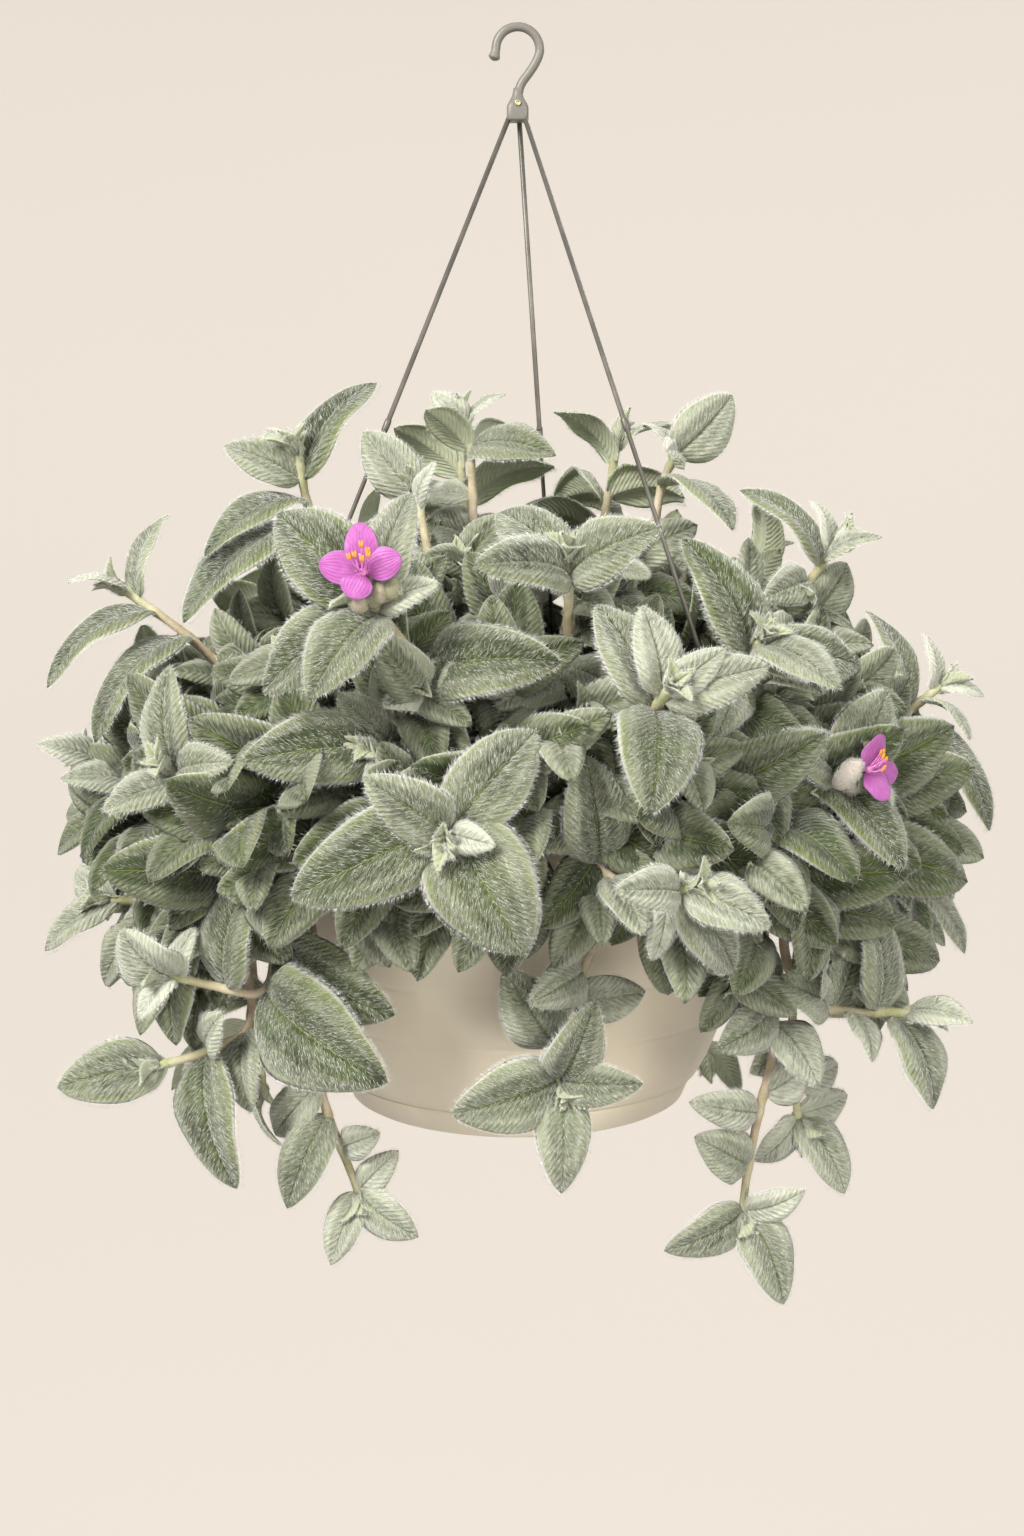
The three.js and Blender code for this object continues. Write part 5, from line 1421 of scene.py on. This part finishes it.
petal_look = petal_finish()
filament_look = soft_finish("pink_filament", (0.66, 0.16, 0.50), (0.80, 0.34, 0.66), 500)
pollen_look = soft_finish("orange_pollen", (0.66, 0.25, 0.03), (0.78, 0.37, 0.07), 900)
# Painted shade: the front bloom's buds are darker copies of the right bloom's.
bud_looks = {
    "front": soft_finish("shaded_felted_bud", (0.27, 0.28, 0.16), (0.42, 0.34, 0.27), 140, 0.85),
    "right": soft_finish("pale_bud", (0.46, 0.47, 0.36), (0.55, 0.46, 0.42), 140, 0.85),
}
beard_look = wool_finish("pink_beard", (0.78, 0.36, 0.66))
# Painted shade: the front bloom's bud wool is a darker copy of the white wool.
bud_wool_looks = {"front": wool_finish("bud_wool", (0.56, 0.55, 0.46)), "right": wool_look}
for number, row in enumerate(BLOOMS):
    name, centre, looks, cup_depth, lean, petal_width, petals, *bud_rows, bract_rows = row
    round_buds, stalked_buds = bud_rows
    chance = np.random.default_rng(BLOOM_SEED + number)
    face = Face(centre, looks)
    stem = f"stem_flowering_{name}"
    skin, notes = petals_skin(face, petals, petal_width, cup_depth, number)
    petal_set = piece_of(f"bloom_{name}_petal_set", skin, petal_look, notes=notes)
    place_in(petal_set, "magenta_petal", f"bloom_{name}_petals")
    filaments, lobes = stamen_skins(face, lean, chance)
    beard_line = [face.at(0, 0, 1.5), face.at(0, 0, 4.5) + 0.2 * lean * face.top]
    beard = body_hairs(beard_line, [1.9, 2.4], chance, 7, 0.6, 0.9, 1.8)
    for part, some, look in (("filaments", filaments, filament_look), ("anthers", lobes, pollen_look),
                             ("beard", hair_skin(beard, 0.12), beard_look)):
        place_in(piece_of(f"bloom_{name}_{part}", some, look), "orange_pollen", f"bloom_{name}_stamens")

    row = next(row for row in FRONT_STEMS if row[0] == f"flowering_{name}")
    line = stem_line(row[1], row[3])
    place, along = back_from_end(line, 1)
    neck = face.at(0, 0, NECK_BACK)
    growth = Growth(CUP_SEED + number)
    stalk_line = curve_through([place, 0.5 * (place + neck) + 0.6 * UP, neck], 5)
    growth.add_stem(stalk_line, [STALK_RADIUS] * len(stalk_line), np.linspace(0.2, 0.7, len(stalk_line)))
    for cup in range(CUP_LEAVES):
        angle = 360 / CUP_LEAVES * cup + 30
        root, end = face.at(angle, 0, CUP_BACK), face.at(angle, CUP_REACH, CUP_BACK)
        blade = Blade(root, end, face.looks, CUP_WIDTH, CUP, cup)
        growth.add_leaf(blade, YOUNG_GRID, YOUNG_TONE, 1.5, 0.4)
    for bract, (right, rear, up, wide) in enumerate(bract_rows):
        way = np.array([right, rear, up], float)
        blade = Blade(place + ROOT_OFFSET * unit(way), place + way, UP + along, wide, BRACT, 20 + bract)
        growth.add_leaf(blade, YOUNG_GRID, 0.75, 1.4, 0.8)
    growth.make(f"bloom_{name}_cup", leaf_look, stem_look, wool_look, stem)
    buds = []
    hairs = []
    for angle, size, radius in round_buds:
        tip = place + size * BUD_REACH * (along + side_way(along, angle))
        skin, bud_line, radii = bulb(place, tip, radius)
        buds.append(skin)
        hairs += body_hairs(bud_line, radii, chance, 6, *BUD_HAIRS)
    for foot, tip, radius in stalked_buds:
        start = face.centre + foot
        skin, bud_line, radii = bulb(start, face.centre + tip, radius)
        buds += [skin, sweep([place, start + unit(bud_line[-1] - start)], [1.0, 1.3], 10)]
        hairs += body_hairs(bud_line, radii, chance, 8, *BUD_HAIRS)
    bud_set = piece_of(f"bloom_{name}_buds", joined(buds), bud_looks[name])
    place_in(bud_set, "woolly_leaf", stem)
    bud_wool = piece_of(f"bloom_{name}_bud_wool", hair_skin(hairs, 0.16), bud_wool_looks[name])
    place_in(bud_wool, "woolly_leaf", stem)
    around = [face.at(angle, reach, 10) for angle in range(0, 360, 10) for reach in range(2, 20, 3)]
    room.take_light(np.array(around))

# ------------------------------------------------------------------ inner growth
# The short shoots with smaller, greener leaves that fill the plant between the large ones and hang
# in a skirt over the rim. Their leaves are also painted darker, as painted shade among the large
# ones. Each grows from the soil, and its leaves keep nearly clear of the others.
INNER_GRID = (12, 8)
DOME_SHOOTS = 110
DOME_MIDDLE_Z = -312
DOME_REACH = 161
DOME_RISE = 94
DOME_DROP = 70
DOME_LOWEST = -0.3
SKIRT_SHOOTS = 38
SHOULDER_SHOOTS = 40
SHOULDER_HIGH_Z = -345
SHOULDER_LOW_Z = -408
# Where the photograph shows the bowl's wall, the skirt is short: its middle, in degrees from the
# right towards the rear, and how far it goes to each side.
BARE_ANGLE = 270
BARE_SPREAD = 34
GOLDEN_ANGLE = 137.508
GOLDEN_SHARE = 0.618
PAIR_STEP = 16
INNER_RADIUS = 2.3
INNER_HAIRS = 0.14  # how dense, to those of the large leaves
# Painted shade: the small leaves are darker than large ones of their size, partly as older, greener leaves
# and partly as painted shade inside the plant.
INNER_TONE = -0.08  # how white the oldest leaves are at least
INNER_LEAF = {**LEAF, "arch": 0.42, "tip": 0.66}
CLEAR_OF_WIRE = 5
MOST_CROWDED = 0.12  # the share of a small leaf that may stand in a held cube, or before a large leaf
MOST_SHADING = 0.3
SECTOR_SEED = 300
SHOOT_SEED = 500
# The share of each wire, from its top, that no small leaf hides from the camera.
WIRE_SHOWN = 0.8
SECTORS = 12
INNER_TURNS = [
    (0, 0, 1), (26, 8, 1), (-26, 8, 1), (40, -14, 0.9), (-40, -14, 0.9), (0, 24, 0.8),
    (0, -26, 0.9), (0, 0, 0.7), (60, 0, 0.7), (-60, 0, 0.7),
]


def dome_path(shoot, chance):
    """A shoot that ends on the round outside of the plant, at its share of the way down it."""
    angle = GOLDEN_ANGLE * shoot
    rise = 1 - (1 - DOME_LOWEST) * (shoot + 0.5) / DOME_SHOOTS
    reach = DOME_REACH * math.sqrt(1 - rise * rise) * chance.uniform(0.84, 1.0)
    end_z = DOME_MIDDLE_Z + (DOME_RISE if rise > 0 else DOME_DROP) * rise * chance.uniform(0.85, 1.0)
    foot = polar(angle, min(0.62 * reach, 106), 0)[:2]
    over = max(0.55 * end_z + 0.45 * SOIL_Z, RIM_Z + 14)
    path = [polar(angle + chance.uniform(-10, 10), 0.7 * reach, over)]
    if end_z < RIM_Z + 10:
        path.append(polar(angle + chance.uniform(-6, 6), 0.9 * reach, 0.5 * (over + end_z) + 6))
    return foot, [*path, polar(angle + chance.uniform(-10, 10), reach, end_z)]


def over_bare_wall(angle):
    """Whether an angle is where the bowl's wall shows."""
    return abs((angle - BARE_ANGLE + 180) % 360 - 180) < BARE_SPREAD


def skirt_path(shoot, chance):
    """A shoot that hangs over the rim, close to the wall."""
    angle = 360 / SKIRT_SHOOTS * (shoot + 0.5) + chance.uniform(-3, 3)
    drop = RIM_Z - (chance.uniform(26, 44) if over_bare_wall(angle) else chance.uniform(44, 78))
    path = [polar(angle, 127, RIM_Z + 13), polar(angle + chance.uniform(-3, 3), 145, RIM_Z - 13)]
    path.append(polar(angle + chance.uniform(-6, 6), chance.uniform(144, 152), drop))
    return polar(angle, chance.uniform(96, 108), 0)[:2], path


def shoulder_path(shoot, chance):
    """A shoot that arches well out over the rim and hangs, anywhere but before the bare wall."""
    half = 180 - BARE_SPREAD
    angle = BARE_ANGLE + 180 + half * (2 * (shoot + 0.5) / SHOULDER_SHOOTS - 1) + chance.uniform(-3, 3)
    share = (shoot * GOLDEN_SHARE) % 1
    reach = chance.uniform(150, 168) + 12 * (1 - share)
    end_z = SHOULDER_HIGH_Z + share * (SHOULDER_LOW_Z - SHOULDER_HIGH_Z)
    path = [polar(angle, 122, RIM_Z + 18), polar(angle + chance.uniform(-4, 4), 0.9 * reach, RIM_Z + 2)]
    path.append(polar(angle + chance.uniform(-8, 8), reach, end_z))
    return polar(angle, chance.uniform(84, 100), 0)[:2], path


def hiding(spots, top, low):
    """Whether any place stands between the camera and the shown share of a wire.

    The share and the depth are those of the shortest gap between the wire and the line of sight."""
    eye = np.array(camera.location) / MM
    sight = spots - eye
    wire = low - top
    square = np.cross(sight, wire)
    size = np.maximum(np.sum(square * square, axis=1), 1e-9)
    beyond = np.sum(np.cross(top - eye, wire) * square, axis=1) / size
    share = np.sum(np.cross(top - eye, sight) * square, axis=1) / size
    gap = np.abs(square @ (top - eye)) / np.sqrt(size)
    return ((gap < CLEAR_OF_WIRE) & (beyond > 1) & (share > 0) & (share < WIRE_SHOWN)).any()


def clear_of_hard_parts(spots):
    """Whether places are inside the CAD box, off the wires and the bowl, and hide no wire."""
    spots = spots.reshape(-1, 3)
    if (spots * MM < cad_box[0]).any() or (spots * MM > cad_box[1]).any():
        return False
    for angle in WIRE_ANGLES.values():
        top, low = wire_ends(angle)
        along = unit(low - top)
        gap = spots - top
        gap = np.linalg.norm(gap - np.outer(gap @ along, along), axis=1)
        if gap.min() < CLEAR_OF_WIRE or hiding(spots, top, low):
            return False
    reach = np.hypot(spots[:, 0], spots[:, 1])
    in_wall = (spots[:, 2] < RIM_Z + 4) & (reach < wall_radius(spots[:, 2]) + 3)
    return not in_wall.any()


def inner_leaf(number, leaf, line, back, outwards, lengths, chance):
    """A small leaf, in the first of its turns that has room, or nothing."""
    place, along = back_from_end(line, back)
    angle = 90 * (leaf // 2) + 180 * (leaf % 2) + 360 * draw(number, 0, 5) + chance.uniform(-14, 14)
    side = side_way(along, angle)
    outward = unit(place * (1, 1, 0))
    open_by = math.radians(min(38 + 11 * (leaf // 2), 78))
    reach = unit(math.cos(open_by) * along + math.sin(open_by) * side + outwards * outward - 0.1 * UP)
    length = min(lengths[0] + 7 * (leaf // 2), lengths[1]) * chance.uniform(0.88, 1.1)
    facing = leaf_facing(place, along)
    for turn in INNER_TURNS:
        way = turned(reach * length, turn)
        wide = chance.uniform(0.52, 0.62) * np.linalg.norm(way)
        root = place + ROOT_OFFSET * unit(way)
        blade = Blade(root, place + way, facing, wide, INNER_LEAF, number + 0.1 * leaf)
        spots = blade.spots(0.3)
        free = room.crowded(spots) < MOST_CROWDED and room.shading(spots) < MOST_SHADING
        if free and clear_of_hard_parts(spots):
            room.take(blade.spots())
            return blade
    return None


# Each group of shoots: its path, how many, how far its leaves swing outwards, and the lengths of its
# youngest and oldest leaves. The skirt comes first, so that it has the room it needs.
INNER_GROUPS = [
    (skirt_path, SKIRT_SHOOTS, 0.75, (34, 52)),
    (shoulder_path, SHOULDER_SHOOTS, 0.55, (36, 56)),
    (dome_path, DOME_SHOOTS, 0.3, (36, 62)),
]
sectors = [Growth(SECTOR_SEED + sector) for sector in range(SECTORS)]
seed = SHOOT_SEED
for path_of, shoots, outwards, lengths in INNER_GROUPS:
    for shoot in range(shoots):
        seed += 1
        chance = np.random.default_rng(seed)
        foot, path = path_of(shoot, chance)
        line = stem_line(foot, path)
        if not clear_of_hard_parts(line[len(line) // 2:]):
            continue
        run = run_along(line)[-1]
        end = line[-1]
        sector = sectors[int(math.degrees(math.atan2(end[1], end[0])) % 360 / (360 / SECTORS)) % SECTORS]
        count = 2 * int((run - 12) / PAIR_STEP)
        backs = [3 + PAIR_STEP * (leaf // 2) + 3 * (leaf % 2) for leaf in range(count)]
        for leaf, back in enumerate(backs):
            blade = inner_leaf(seed, leaf, line, back, outwards, lengths, chance)
            if blade:
                # Painted shade: a low tone, darker and less white, partly for older leaves and partly as
                # painted shade inside the plant.
                tone = INNER_TONE + 0.45 * math.exp(-back / 12) + chance.uniform(0, 0.22)
                sector.add_leaf(blade, INNER_GRID, tone, INNER_HAIRS)
        radii, fresh = stem_radii(line, INNER_RADIUS, backs)
        sector.add_stem(line, radii, fresh, 7, INNER_HAIRS)
        young_leaves(sector, seed, line, 2 * INNER_HAIRS)
inner_wool_look = wool_finish("inner_wool", (0.76, 0.79, 0.71))
for count, sector in enumerate(sectors):
    if sector.leaves:
        sector.make(f"inner_growth_{count + 1}", leaf_look, stem_look, inner_wool_look)
